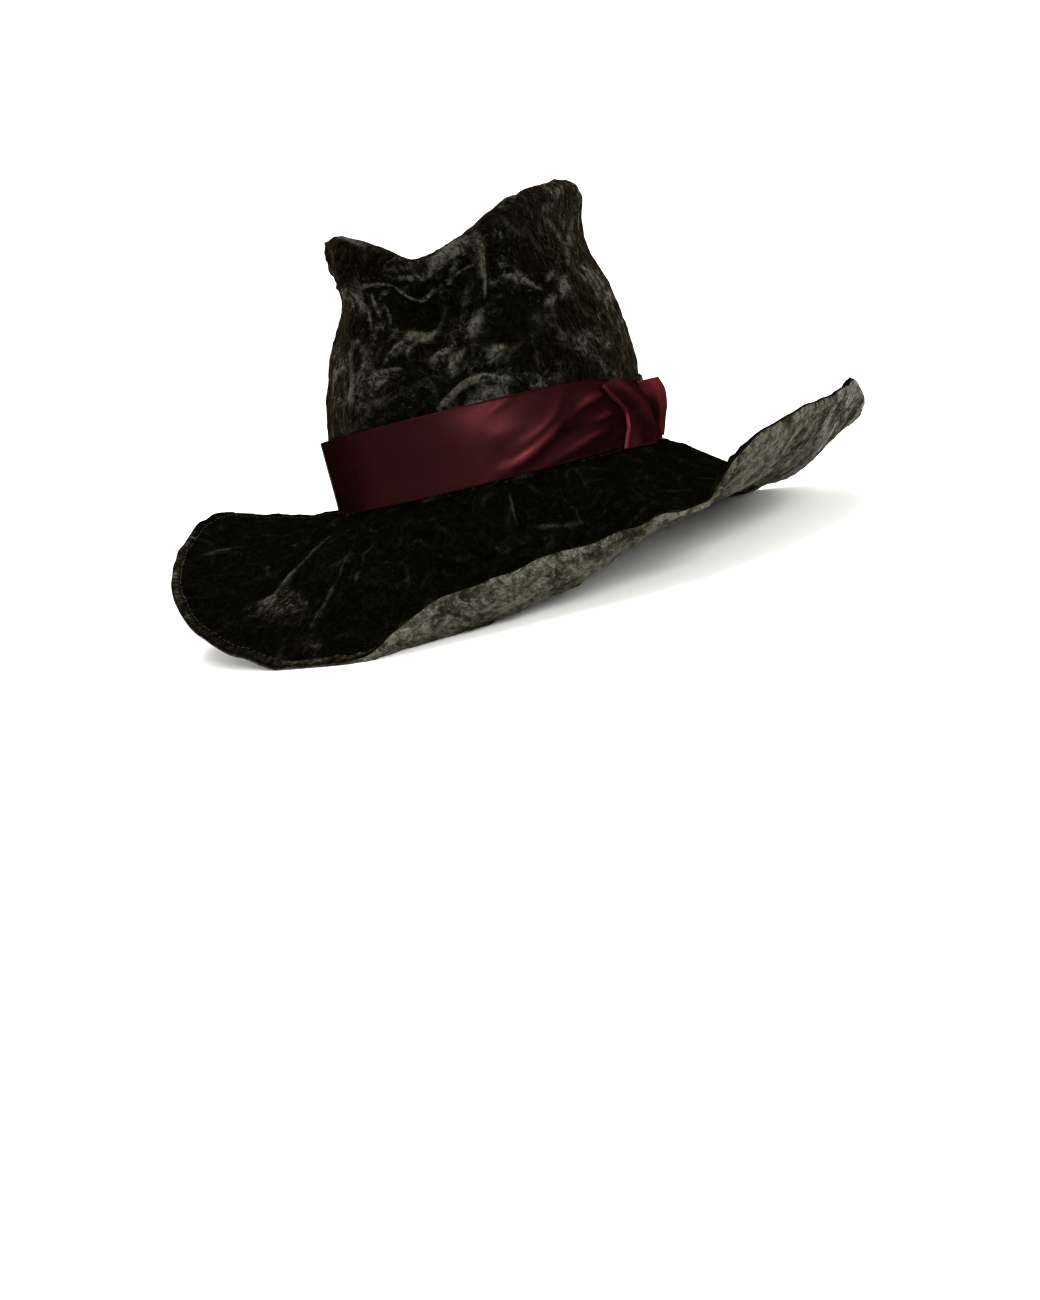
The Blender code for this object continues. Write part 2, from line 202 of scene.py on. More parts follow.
# rim is a share of the crown's height. The rest are shares of the foot's radius, at the CROWN_KNOTS, which
# are shares of the way up from the foot.
CROWN_KNOTS = np.array([0.0, 0.35, 0.62, 0.86, 1.0])
CROWN_SECTIONS = [
    CrownSection(-160, 0.98, 0.97, 0.89, 0.83, 0.85),
    CrownSection(-120, 0.94, 0.96, 0.87, 0.79, 0.81),
    CrownSection(-85, 0.88, 0.96, 0.86, 0.77, 0.78),
    CrownSection(-60, 0.89, 0.955, 0.83, 0.67, 0.66),
    CrownSection(-37, 0.965, 0.955, 0.845, 0.665, 0.675),
    CrownSection(-15, 0.965, 0.95, 0.83, 0.695, 0.73),
    CrownSection(2, 0.935, 0.96, 0.86, 0.78, 0.79),
    CrownSection(16, 0.875, 0.97, 0.86, 0.77, 0.80),
    CrownSection(31, 0.80, 0.97, 0.85, 0.75, 0.78),
    CrownSection(50, 0.83, 0.98, 0.88, 0.79, 0.82),
    CrownSection(72, 0.915, 0.98, 0.90, 0.83, 0.86),
    CrownSection(100, 0.97, 0.99, 0.92, 0.83, 0.86),
    CrownSection(128, 1.00, 0.995, 0.94, 0.825, 0.865),
    CrownSection(160, 0.995, 0.985, 0.91, 0.83, 0.86),
]

Dent = namedtuple("Dent", "azimuth height spread rise depth")
# height and rise are shares of the way up the crown, spread is in degrees, and depth is a share of the
# crown's width. A negative depth is a swelling.
CROWN_DENTS = [
    Dent(34, 0.74, 15, 0.16, 0.030),
    Dent(-56, 0.74, 16, 0.18, 0.030),
    Dent(52, 0.36, 16, 0.05, 0.016),
    Dent(56, 0.22, 18, 0.08, -0.012),
    Dent(85, 0.62, 14, 0.12, 0.010),
    Dent(5, 0.45, 12, 0.16, -0.012),
    Dent(175, 0.60, 24, 0.20, 0.014),
    Dent(-130, 0.50, 20, 0.20, -0.014),
]

RibbonStation = namedtuple("RibbonStation", "azimuth upright")
# upright says how far the ribbon's top edge stands off the tapering crown: 1 keeps the ribbon upright
RIBBON_STATIONS = [
    RibbonStation(-110, 0.6),
    RibbonStation(-40, 1.0),
    RibbonStation(20, 0.7),
    RibbonStation(80, 0.4),
    RibbonStation(130, 0.3),
    RibbonStation(200, 0.4),
]

WrapRow = namedtuple("WrapRow", "left right stand")
# Rows of the wrap at even steps from its lower edge to its upper one. left and right are degrees from the
# bow's azimuth, and stand is a share of the bow's stand.
BOW_WRAP = [
    WrapRow(-9.5, 9.0, 0.50),
    WrapRow(-7.0, 14.0, 0.60),
    WrapRow(-4.5, 11.0, 0.62),
    WrapRow(-4.0, 9.0, 0.62),
    WrapRow(-7.0, 8.0, 0.62),
    WrapRow(-11.5, 6.0, 0.58),
    WrapRow(-15.0, 3.5, 0.46),
]
WrapColumn = namedtuple("WrapColumn", "across rise low high")
# across goes from the wrap's left edge to its right. rise is a share of its stand: a thin rolled lip, then a
# slope that climbs off the band to the right and turns back. low and high are its two ends as shares of the
# ribbon's width.
WRAP_ACROSS = [
    WrapColumn(0.00, 0.04, -0.04, 0.83),
    WrapColumn(0.02, 0.20, -0.04, 0.84),
    WrapColumn(0.04, 0.23, -0.04, 0.85),
    WrapColumn(0.08, 0.13, -0.045, 0.86),
    WrapColumn(0.16, 0.16, -0.05, 0.88),
    WrapColumn(0.40, 0.46, -0.06, 0.90),
    WrapColumn(0.70, 0.80, -0.08, 0.85),
    WrapColumn(0.92, 1.00, -0.08, 0.76),
    WrapColumn(1.00, 0.55, -0.05, 0.72),
]

LoopRow = namedtuple("LoopRow", "share inner_turn inner_stand outer_turn outer_stand")
# The loop comes out from beside the wrap and turns back behind. share is of the ribbon's width, turns are in
# degrees from the bow's azimuth, and stands are shares of the bow's stand.
BOW_LOOP = [
    LoopRow(-0.02, 15.0, 0.34, 19.0, 0.52),
    LoopRow(0.22, 14.0, 0.26, 20.0, 0.74),
    LoopRow(0.40, 13.0, 0.20, 20.0, 0.93),
    LoopRow(0.60, 12.0, 0.14, 19.0, 1.00),
    LoopRow(0.80, 10.0, 0.10, 17.0, 0.82),
]
# Behind, the loop goes on through these turns, with these shares of its outer stand.
LOOP_BEHIND = np.array([(24.0, 0.78), (29.0, 0.40), (25.0, 0.06)])
# Shares of the loop's path: its inner edge, a point on the way out, its outer edge and the places behind
LOOP_KNOTS = np.array([0.0, 0.14, 0.34, 0.55, 0.78, 1.0])
LOOP_WAY_OUT_TURN = 0.55
LOOP_WAY_OUT_STAND = 0.65
# The loop's far side draws in towards the ribbon's middle by this share.
LOOP_DRAW = 0.12
LOOP_DRAW_START = 0.3
# The loop is in shade inside: up to these shares of its path, round this share of its width
HOLLOW_PATH = (0.02, 0.16)
HOLLOW_MIDDLE = 0.42
HOLLOW_SPREAD = 0.24
# Columns of the wrap are closer together at its lip, by this power. A soft fold runs aslant over it.
WRAP_CROWDING = 1.5
WRAP_FOLD = 0.05
WRAP_FOLD_WAVES = (1.2, 0.9)
LIP_MIDDLE = 0.025
LIP_SPREAD = 0.025
# How far the bow's cloth stands up, from 0 to 1, which the satin paints as shade when low and as a highlight
# when high: level, at the wrap's lip and in its soft fold
WRAP_LEVEL_LIFT = 0.77
LIP_LIFT = 0.9
FOLD_LIFT = 1.5
TAIL_LIFT = 0.8
# Lengths that the map of the bow's threads is drawn with
WRAP_LENGTH = 0.03
LOOP_LENGTH = 0.05
TAIL_LENGTH = 0.03
TAIL_WIDTH = 0.007

TailPoint = namedtuple("TailPoint", "turn stand low high")
# The tail's path, with its two edges as shares of the ribbon's width
BOW_TAIL = [
    TailPoint(8.0, 0.10, -0.05, 0.10),
    TailPoint(12.0, 0.30, -0.06, 0.11),
    TailPoint(16.0, 0.44, -0.07, 0.10),
    TailPoint(20.0, 0.40, -0.05, 0.06),
]

# Creases and small folds, which only the cloth has
Crease = namedtuple("Crease", "azimuth share to_azimuth to_share bow width height")
# A crease runs from one azimuth and share of the way along the cloth to another. It bows sideways in the
# middle by bow, and is width wide and height high, all in millimetres. A negative height is a groove.
CROWN_CREASES = [
    Crease(8, 0.875, 14, 0.90, 0.5, 1.0, 1.5),
    Crease(13, 0.905, 20, 0.925, -0.6, 0.9, 1.5),
    Crease(20, 0.925, 26, 0.885, 0.8, 0.8, 1.2),
    Crease(22, 0.905, 29, 0.885, -0.5, 1.0, 1.6),
    Crease(29, 0.885, 36, 0.915, -0.5, 1.0, 1.6),
    Crease(8, 0.915, 22, 0.955, -1.0, 1.8, -1.6),
    Crease(22, 0.935, 38, 0.940, 1.5, 1.8, -1.8),
    Crease(24, 0.965, 31, 0.985, 0.8, 1.3, 1.5),
    Crease(31, 0.960, 36, 0.975, 0.5, 1.0, 1.3),
    Crease(36, 0.99, 52, 1.02, 1.6, 3.2, 2.2),
    Crease(36, 0.945, 55, 0.955, 1.8, 1.6, -2.0),
    Crease(44, 0.93, 56, 0.925, 0.8, 0.9, 1.1),
    Crease(-2, 0.93, 8, 0.875, 1.0, 2.2, -1.8),
    Crease(-4, 1.00, 10, 1.02, 2.0, 2.2, -1.6),
    Crease(0, 1.06, 14, 1.04, 1.0, 1.4, 1.2),
    Crease(44, 1.10, 66, 1.08, 1.0, 1.4, 1.0),
    Crease(2, 0.87, 8, 0.78, 1.0, 0.9, 1.0),
    Crease(5, 0.86, 9, 0.80, -0.6, 0.8, 0.9),
    Crease(9, 0.79, 10, 0.72, 0.5, 0.9, 0.8),
    Crease(12, 0.86, 14, 0.76, -1.0, 1.0, 1.2),
    Crease(14, 0.84, 19, 0.89, 0.5, 0.8, 1.0),
    Crease(16, 0.82, 17, 0.74, 0.5, 0.9, 1.0),
    Crease(7, 0.97, 20, 1.00, -2.0, 2.0, -1.2),
    Crease(15, 0.60, 19, 0.66, -0.8, 1.4, 1.6),
    Crease(19, 0.65, 23, 0.70, 0.6, 1.3, 1.6),
    Crease(22, 0.705, 27, 0.73, 0.8, 1.3, 1.6),
    Crease(26, 0.70, 32, 0.735, -0.6, 1.4, 1.6),
    Crease(21, 0.63, 25, 0.69, 0.5, 1.0, 1.2),
    Crease(10, 0.51, 14, 0.56, 0.8, 1.1, 1.7),
    Crease(13, 0.545, 20, 0.57, 0.6, 1.1, 1.7),
    Crease(11, 0.50, 15, 0.52, -0.4, 0.9, 1.2),
    Crease(31, 0.40, 54, 0.43, 9.0, 2.2, 1.8),
    Crease(33, 0.44, 56, 0.46, 9.0, 2.2, -1.2),
    Crease(38, 0.37, 52, 0.38, 3.0, 4.0, 1.3),
    Crease(57, 1.02, 57, 0.87, 0.8, 1.6, 1.9),
    Crease(57, 0.88, 55, 0.78, 0.8, 1.0, 1.3),
    Crease(55, 1.01, 55, 0.90, 0.4, 1.4, -1.6),
    Crease(61, 0.99, 60, 0.84, 0.5, 1.8, -1.5),
    Crease(31, 0.61, 37, 0.64, 1.0, 2.4, 1.2),
    Crease(37, 0.53, 43, 0.62, 2.0, 2.8, 1.1),
    Crease(47, 0.66, 51, 0.73, 1.0, 3.0, 1.0),
    Crease(50, 0.52, 57, 0.57, 1.5, 2.6, 1.0),
    Crease(54, 0.62, 60, 0.56, -1.5, 2.2, -0.9),
    Crease(63, 0.82, 72, 0.74, 1.0, 1.8, 0.9),
    Crease(70, 0.80, 80, 0.69, -1.5, 1.7, 0.9),
    Crease(78, 0.63, 86, 0.65, 0.8, 1.9, 1.1),
    Crease(83, 0.71, 90, 0.74, 0.6, 1.6, 0.9),
    Crease(88, 0.63, 96, 0.71, 1.2, 2.2, 1.2),
    Crease(91, 0.50, 99, 0.43, 0.5, 1.5, 0.8),
    Crease(64, 0.35, 76, 0.36, 2.5, 2.0, 1.0),
    Crease(60, 0.40, 92, 0.38, -2.0, 2.4, -1.0),
    Crease(104, 0.71, 121, 0.84, -1.0, 2.4, -1.3),
    Crease(100, 0.76, 118, 0.90, 1.0, 2.6, 1.1),
    Crease(92, 0.93, 102, 0.83, 1.5, 2.6, 1.1),
    Crease(112, 0.55, 125, 0.62, 1.0, 2.6, 1.0),
    Crease(0, 0.60, 6, 0.68, 1.0, 1.8, 1.0),
    Crease(1, 0.61, 2, 0.42, 1.5, 1.8, 1.0),
    Crease(-14, 0.50, -4, 0.58, 1.0, 2.2, 1.1),
    Crease(-20, 0.92, -6, 0.87, -2.0, 2.6, -1.3),
    Crease(-40, 0.85, -24, 0.90, 1.5, 2.4, 1.2),
    Crease(-60, 0.62, -44, 0.68, 2.0, 2.8, 1.3),
    Crease(-84, 0.52, -66, 0.44, -2.5, 2.6, 1.2),
    Crease(-110, 0.70, -92, 0.78, 2.0, 2.6, 1.2),
    Crease(-140, 0.46, -118, 0.56, 3.0, 2.8, 1.3),
    Crease(-170, 0.74, -150, 0.66, -3.0, 2.8, 1.2),
    Crease(150, 0.44, 172, 0.50, 3.0, 2.6, 1.3),
    Crease(138, 0.84, 152, 0.76, 2.0, 2.4, 1.1),
    Crease(128, 0.42, 142, 0.50, -2.0, 2.4, -1.1),
    Crease(-42, 1.03, -29, 0.95, 0.8, 2.0, -2.6),
    Crease(-40, 1.06, -24, 1.00, 1.2, 1.2, 1.6),
    Crease(-32, 0.94, -18, 0.98, -1.0, 1.0, 1.5),
    Crease(-24, 1.05, -8, 1.02, 0.8, 1.0, 1.4),
    Crease(-18, 0.96, -3, 0.92, 0.8, 1.1, 1.4),
    Crease(-30, 0.90, -14, 0.86, 1.0, 1.0, 1.3),
    Crease(34, 1.20, 120, 1.22, 10.0, 4.0, 1.4),
    Crease(-60, 1.24, 20, 1.20, -8.0, 4.0, 1.3),
]
BRIM_CREASES = [
    Crease(-6, 0.20, -8, 0.74, 1.0, 1.6, 1.0),
    Crease(4, 0.26, 5, 0.74, -1.5, 1.6, 0.7),
    Crease(-9, 0.74, 1, 0.74, 1.0, 2.4, -1.2),
    Crease(9, 0.18, 11, 0.60, 1.0, 1.2, 0.4),
    Crease(19, 0.14, 21, 0.46, 0.8, 1.2, 0.35),
    Crease(46, 0.08, 46, 0.24, 0.6, 1.0, 0.9),
    Crease(48, 0.25, 62, 0.42, -2.0, 1.5, 0.6),
    Crease(-20, 0.03, -5, 0.14, 1.0, 1.2, 0.6),
    Crease(-42, 0.40, -20, 0.26, -2.0, 1.3, 0.6),
    Crease(-48, 0.60, -40, 0.92, 2.0, 2.4, 0.7),
    Crease(-29, 0.47, -21, 0.50, 0.6, 1.8, 0.7),
    Crease(-64, 0.30, -50, 0.70, 3.0, 1.6, 0.5),
    Crease(-92, 0.20, -84, 0.66, 3.0, 1.8, 0.6),
    Crease(-120, 0.40, -108, 0.85, -3.0, 1.8, 0.6),
    Crease(-150, 0.10, -140, 0.50, 3.0, 1.8, 0.6),
    Crease(-172, 0.30, -168, 0.70, -3.0, 1.7, 0.6),
    Crease(168, 0.10, 160, 0.56, 3.0, 1.8, 0.6),
    Crease(146, 0.26, 136, 0.80, -3.0, 1.8, 0.6),
    Crease(126, 0.12, 120, 0.46, 2.0, 1.4, 0.2),
    Crease(104, 0.10, 98, 0.40, 2.0, 1.3, 0.2),
    Crease(84, 0.10, 80, 0.34, -2.0, 1.1, 0.2),
    Crease(68, 0.06, 66, 0.26, 1.0, 1.2, 0.3),
]
# The ribbon's gathers run aslant into the bow
RIBBON_CREASES = [
    Crease(50, 0.30, 74, 0.96, -2.5, 3.0, 1.6),
    Crease(56, 0.46, 72, 0.86, -1.0, 1.5, -0.6),
    Crease(46, 0.10, 70, 0.56, -2.0, 3.2, 1.7),
    Crease(58, 0.22, 84, 0.42, 1.0, 2.0, -0.5),
    Crease(62, 0.04, 90, 0.30, 1.5, 3.0, 1.4),
    Crease(74, 0.60, 92, 0.80, 1.5, 3.4, 1.5),
    Crease(80, 0.40, 97, 0.52, 1.0, 2.6, 1.3),
    Crease(44, 0.84, 56, 0.98, 0.5, 3.0, 0.9),
    Crease(-10, 0.30, 30, 0.20, 1.5, 6.0, 0.4),
    Crease(-80, 0.60, -40, 0.50, 2.0, 6.0, 0.5),
    Crease(150, 0.40, 190, 0.60, 2.0, 6.0, 0.5),
]

Patch = namedtuple("Patch", "azimuth share spread rise light")
# Painted highlights and shade on the pile: where light is positive the pile is painted lighter, as if pressed
# flat and catching the light, and where light is negative it is painted black, as shade. spread is in degrees
# and rise is a share of the way along the cloth.
CROWN_PATCHES = [
    Patch(33, 0.83, 15, 0.09, -0.45),
    Patch(26, 0.47, 6, 0.06, -0.40),
    Patch(58, 0.47, 9, 0.05, -0.20),
    Patch(15, 0.54, 6, 0.035, 0.45),
    Patch(19, 0.64, 3, 0.05, 0.40),
    Patch(27, 0.72, 5, 0.03, 0.35),
    Patch(33, 0.63, 4, 0.025, 0.40),
    Patch(42, 0.58, 4, 0.06, 0.18),
    Patch(48, 0.67, 4, 0.035, 0.40),
    Patch(54, 0.55, 3, 0.03, 0.25),
    Patch(46, 0.40, 9, 0.05, 0.50),
    Patch(30, 0.96, 8, 0.03, 0.30),
    Patch(46, 1.00, 10, 0.04, 0.45),
    Patch(56, 0.92, 3, 0.08, 0.45),
    Patch(64, 0.90, 6, 0.06, -0.20),
    Patch(80, 0.90, 12, 0.07, 0.05),
    Patch(74, 0.68, 15, 0.16, -0.14),
    Patch(83, 0.64, 4, 0.02, 0.30),
    Patch(92, 0.69, 4, 0.04, 0.25),
    Patch(66, 0.33, 6, 0.03, 0.35),
    Patch(5, 0.84, 7, 0.06, 0.25),
    Patch(14, 0.80, 4, 0.06, 0.25),
    Patch(4, 0.55, 5, 0.10, 0.15),
    Patch(-10, 0.60, 12, 0.30, 0.20),
    Patch(110, 0.60, 12, 0.30, 0.20),
    Patch(-60, 0.60, 18, 0.14, 0.20),
    Patch(-100, 0.45, 16, 0.12, 0.25),
    Patch(-150, 0.70, 18, 0.12, 0.25),
    Patch(160, 0.45, 16, 0.12, 0.25),
]
BRIM_PATCHES = [
    Patch(-4, 0.66, 7, 0.12, 1.30),
    Patch(7, 0.82, 5, 0.14, 0.75),
    Patch(2, 0.34, 6, 0.16, 0.70),
    Patch(-44, 0.76, 7, 0.22, 0.55),
    Patch(-30, 0.98, 36, 0.03, 1.00),
    Patch(20, 0.98, 16, 0.03, 1.10),
    Patch(46, 0.18, 3, 0.10, 0.45),
    Patch(56, 0.34, 8, 0.04, 0.60),
    Patch(-110, 0.50, 16, 0.20, 0.25),
    Patch(-165, 0.60, 16, 0.20, 0.22),
    Patch(140, 0.50, 16, 0.20, 0.22),
]


def linear(hex_colour):
    """Linear red, green and blue of an sRGB hex colour."""
    parts = [int(hex_colour[k:k + 2], 16) / 255 for k in (1, 3, 5)]
    return tuple(p / 12.92 if p <= 0.04045 else ((p + 0.055) / 1.055) ** 2.4 for p in parts)


def length(name, description, default):
    """A property that holds a length."""
    return bpy.props.FloatProperty(name=name, description=description, default=default, min=0.0,
                                   precision=4, unit="LENGTH")


def colour(name, description, hex_colour):
    """A property that holds a colour."""
    return bpy.props.FloatVectorProperty(name=name, description=description, default=linear(hex_colour),
                                         size=3, min=0.0, max=1.0, subtype="COLOR")


def degrees(name, description, default):
    """A property that holds an angle, given here in degrees."""
    return bpy.props.FloatProperty(name=name, description=description, default=np.radians(default),
                                   subtype="ANGLE")


class FedoraSizes(bpy.types.PropertyGroup):
    """Sizes of the hat and of its cloth."""

    crown_length: length("Crown length", "Outside of the crown's foot, front to back", 0.206)
    crown_width: length("Crown width", "Outside of the crown's foot, side to side", 0.172)
    crown_height: length("Crown height", "From the foot to the rim's highest point",
                         CROWN_HIGH.z - CROWN_LOW.z)
    crown_foot: length("Crown foot", "Height of the crown's foot", CROWN_LOW.z)
    crown_wall: length("Crown wall", "Thickness of the crown's cloth", 0.0020)
    rim_roll: length("Rim roll", "Radius of the rolled rim", 0.0075)
    centre_dent: length("Centre dent", "How far the top sinks below the rim's highest point", 0.040)
    brim_width: length("Brim width", "Along the cloth, from the crown to the edge", 0.126)
    brim_ply: length("Brim ply", "Thickness of one of the brim's two cloths", 0.0012)
    ribbon_foot: length("Ribbon foot", "Height of the ribbon's lower edge", BAND_LOW.z)
    ribbon_width: length("Ribbon width", "Width of the ribbon", BAND_HIGH.z - BAND_LOW.z)
    ribbon_thickness: length("Ribbon thickness", "Thickness of the ribbon", 0.0008)
    ribbon_slack: length("Ribbon slack", "Room between the crown and the ribbon", 0.0007)
    bow_azimuth: degrees("Bow azimuth", "Where the bow sits round the hat", 105.0)
    bow_stand: length("Bow stand", "How far the bow can stand off the band", 0.0120)
    cloth_gap: length("Cloth gap", "Clearance between neighbouring cloths", 0.0003)
    edge_ripple: length("Edge ripple", "Height of the small waves along the brim's edge", 0.0016)
    stitch_inset: length("Stitch inset", "From the brim's edge to its stitching", 0.0060)
    stitch_pitch: length("Stitch pitch", "From one stitch to the next", 0.0042)
    crush_depth: length("Crush depth", "Depth of the velvet's crushed creases", 0.0014)


class VelvetLook(bpy.types.PropertyGroup):
    """Colours of the velvet and its stitching."""

    shade: colour("Shade", "Upper velvet where the pile points at the eye", "#020201")
    ground: colour("Ground", "Upper velvet between its darkest and lightest places", "#151510")
    # light is a painted highlight: the upper velvet's ridges, raised crests and pressed patches
    light: colour("Light", "Upper velvet where the pile lies flat", "#4d4d43")
    sheen: colour("Sheen", "Brown glow of the pile seen edge on", "#7d6c4c")
    # facing_shade is painted shade in the crushed grooves of the brim's underside
    facing_shade: colour("Facing shade", "Dark veins of the brim's underside", "#14130c")
    facing_ground: colour("Facing ground", "Brim's underside", "#393930")
    # facing_light is a painted highlight where the facing's pile is pressed
    facing_light: colour("Facing light", "Brim's underside where the pile lies flat", "#56554b")
    thread: colour("Thread", "Stitching round the brim", "#1f1912")


class SatinLook(bpy.types.PropertyGroup):
    """Colours of the ribbon."""

    # shade is painted shade: the ribbon in its sunk folds and inside the loop
    shade: colour("Shade", "Ribbon in its folds", "#120708")
    ground: colour("Ground", "Ribbon", "#1d090a")
    # light is the edge threads' own lighter colour, and also a painted highlight where the cloth stands up
    light: colour("Light", "Ribbon's edge threads", "#431a1c")
    edge: colour("Edge", "Light that the satin's threads throw to the side", "#0a0505")


class StageLook(bpy.types.PropertyGroup):
    """The camera, as worked out from the photograph, and the stage."""

    azimuth: degrees("Azimuth", "Where the camera stands round the hat", 45.0)
    distance: length("Distance", "From the hat's axis to the camera", 0.620)
    eye: length("Eye", "Height of the camera", 0.087)
    pitch: degrees("Pitch", "How far the camera looks down", 12.54)
    yaw: degrees("Yaw", "How far the camera looks left of the hat's axis", 1.29)
    roll: degrees("Roll", "How far the hat's level rises to the right in the picture", 13.7)
    focal: bpy.props.FloatProperty(name="Focal length", description="In millimetres on a 36 mm long side",
                                   default=28.16, min=1.0)
    floor: colour("Floor", "Floor and backdrop", "#f6f6f4")
    floor_radius: length("Floor radius", "Radius of the level floor", 1.3)
    cove_radius: length("Cove radius", "Radius of the curve from the floor to the wall", 1.2)
    wall_height: length("Wall height", "Height of the backdrop above its curve", 2.5)


def smooth_through(x, knots, values):
    """Cubic through the knots that never overshoots them. The last axis of values runs along the knots."""
    x = np.broadcast_to(x, values.shape[:-1] + np.shape(x)[-1:])
    step = np.diff(knots)
    slope = np.diff(values, axis=-1) / step
    before, after = slope[..., :-1], slope[..., 1:]
    rising = before * after > 0
    mean = np.where(rising, 2 * before * after / np.where(rising, before + after, 1), 0)
    tangent = np.concatenate([slope[..., :1], mean, slope[..., -1:]], axis=-1)
    i = np.clip(np.searchsorted(knots, x, side="right") - 1, 0, len(step) - 1)
    t = (x - knots[i]) / step[i]
    start, end = np.take_along_axis(values, i, -1), np.take_along_axis(values, i + 1, -1)
    leave, arrive = np.take_along_axis(tangent, i, -1), np.take_along_axis(tangent, i + 1, -1)
    line = start * (1 + 2 * t) * (1 - t) ** 2 + end * t**2 * (3 - 2 * t)
    return line + (leave * t * (1 - t) ** 2 + arrive * t**2 * (t - 1)) * step[i]


def column(table, name):
    """One column of a table of named rows."""
    return np.array([getattr(row, name) for row in table], float)


def round_hat(azimuth, table, name):
    """One column of a table with an azimuth in each row, read smoothly right round the hat."""
    stations, values = column(table, "azimuth"), column(table, name)
    knots = np.concatenate([stations[-2:] - 360, stations, stations[:2] + 360])
    values = np.concatenate([values[-2:], values, values[:2]])
    return smooth_through((azimuth - stations[0]) % 360 + stations[0], knots, values)


def evenly(table, count):
    """Each column of a table, read smoothly at even steps from its first row to its last."""
    steps, path = np.linspace(0, 1, count), np.linspace(0, 1, len(table))
    return [smooth_through(steps, path, column(table, name)) for name in table[0]._fields]


def columns_round(count):
    """Azimuths of columns round the hat, closer together at its front left, where its creases are."""
    even = np.arange(count) * 360 / count
    return even - np.degrees(CROWDING * np.sin(np.radians(even - CREASED_SIDE)))


def turned(azimuth, centre):
    """Degrees from a centre to an azimuth, the short way round."""
    return (azimuth - centre + 180) % 360 - 180


def ease(x, low, high):
    """0 below low, 1 above high, and a smooth S between them."""
    t = np.clip((x - low) / (high - low), 0, 1)
    return t * t * (3 - 2 * t)


def bell(x, spread):
    """A bell curve: 1 at 0, and about a third at its spread."""
    return np.exp(-((x / spread) ** 2))


def place(azimuth, radius, height):
    """Points from an azimuth, a radius and a height."""
    angle = np.radians(azimuth)
    return np.stack(np.broadcast_arrays(np.sin(angle) * radius, -np.cos(angle) * radius, height), axis=-1)


def grid_normals(points, closed=True):
    """Unit normals of a grid of points: the cross product of its two directions."""
    if closed:
        around = np.roll(points, -1, axis=0) - np.roll(points, 1, axis=0)
    else:
        around = np.gradient(points, axis=0)
    normal = np.cross(np.gradient(points, axis=1), around)
    return normal / np.maximum(np.linalg.norm(normal, axis=-1, keepdims=True), 1e-12)


def smooth_noise(points, seed):
    """Noise from -1 to 1: at each whole-number corner a random slope, blended by the fifth-power ease."""
    rng = np.random.default_rng(seed)
    order = rng.permutation(NOISE_CELLS)
    slopes = rng.normal(size=(NOISE_CELLS, 3))
    slopes /= np.linalg.norm(slopes, axis=1, keepdims=True)
    cell = np.floor(points).astype(int)
    inside = points - cell
    blend = inside**3 * (inside * (inside * 6 - 15) + 10)
    total = np.zeros(points.shape[:-1])
    for corner in np.ndindex(2, 2, 2):
        at = (cell + corner) % NOISE_CELLS
        pick = order[(order[at[..., 0]] + at[..., 1]) % NOISE_CELLS]
        pick = order[(pick + at[..., 2]) % NOISE_CELLS]
        weight = np.prod(np.where(np.array(corner) == 1, blend, 1 - blend), axis=-1)
        total += weight * (slopes[pick] * (inside - corner)).sum(axis=-1)
    return total * NOISE_GAIN


def crushed(points, seed):
    """Crushed cloth, about -1 to 1: sharp ridges where a warped noise crosses zero, at three sizes."""
    push = np.stack([smooth_noise(points / CRUSH_PUSH_SPACING, seed + k) for k in range(3)], axis=-1)
    height = np.zeros(points.shape[:-1])
    for spacing, share in CRUSH_RIDGES:
        ridge = smooth_noise((points + push * CRUSH_PUSH) / spacing, seed + 11)
        ridge = 1 - np.abs(ridge) * CRUSH_SHARPNESS
        height += share * np.clip(ridge, -1, 1) * np.abs(ridge) ** CRUSH_ROUNDING
    return height


def creases(azimuth, share, table, radius, run):
    """Height of a table of creases: each a bell curve across a line that bows, lower at its ends.

    radius turns an azimuth into a distance, and run a share.
    """
    height = np.zeros(np.broadcast(azimuth, share).shape)
    for crease in table:
        start = np.array([0.0, crease.share * run])
        end = np.array([np.radians(crease.to_azimuth - crease.azimuth) * radius, crease.to_share * run])
        x = np.radians(turned(azimuth, crease.azimuth)) * radius
        y = share * run
        chord = end - start
        reach = np.hypot(*chord)
        ahead = ((x - start[0]) * chord[0] + (y - start[1]) * chord[1]) / reach**2
        aside = ((y - start[1]) * chord[0] - (x - start[0]) * chord[1]) / reach
        inside = np.clip(ahead, 0, 1)
        aside = aside - crease.bow * MM * 4 * inside * (1 - inside)
        past = (ahead - inside) * reach
        fade = CREASE_END + (1 - CREASE_END) * np.sin(np.pi * inside)
        height += crease.height * MM * fade * np.exp(-(aside**2 + past**2) / (crease.width * MM) ** 2)
    return height


def patches(azimuth, share, table):
    """Sum of a table of patches, each a bell curve round its middle."""
    total = np.zeros(np.broadcast(azimuth, share).shape)
    for patch in table:
        across = turned(azimuth, patch.azimuth) / patch.spread
        total += patch.light * np.exp(-(across**2) - ((share - patch.share) / patch.rise) ** 2)
    return total


def foot_radius(sizes, azimuth):
    """Radius of the outside of the crown at its foot, an oval."""
    angle = np.radians(azimuth)
    half_length, half_width = sizes.crown_length / 2, sizes.crown_width / 2
    return half_length * half_width / np.hypot(half_width * np.cos(angle), half_length * np.sin(angle))


def rim_height(sizes, azimuth):
    """Height of the top of the crown's rolled rim above the crown's foot."""
    return sizes.crown_height * round_hat(azimuth, CROWN_SECTIONS, "rim")


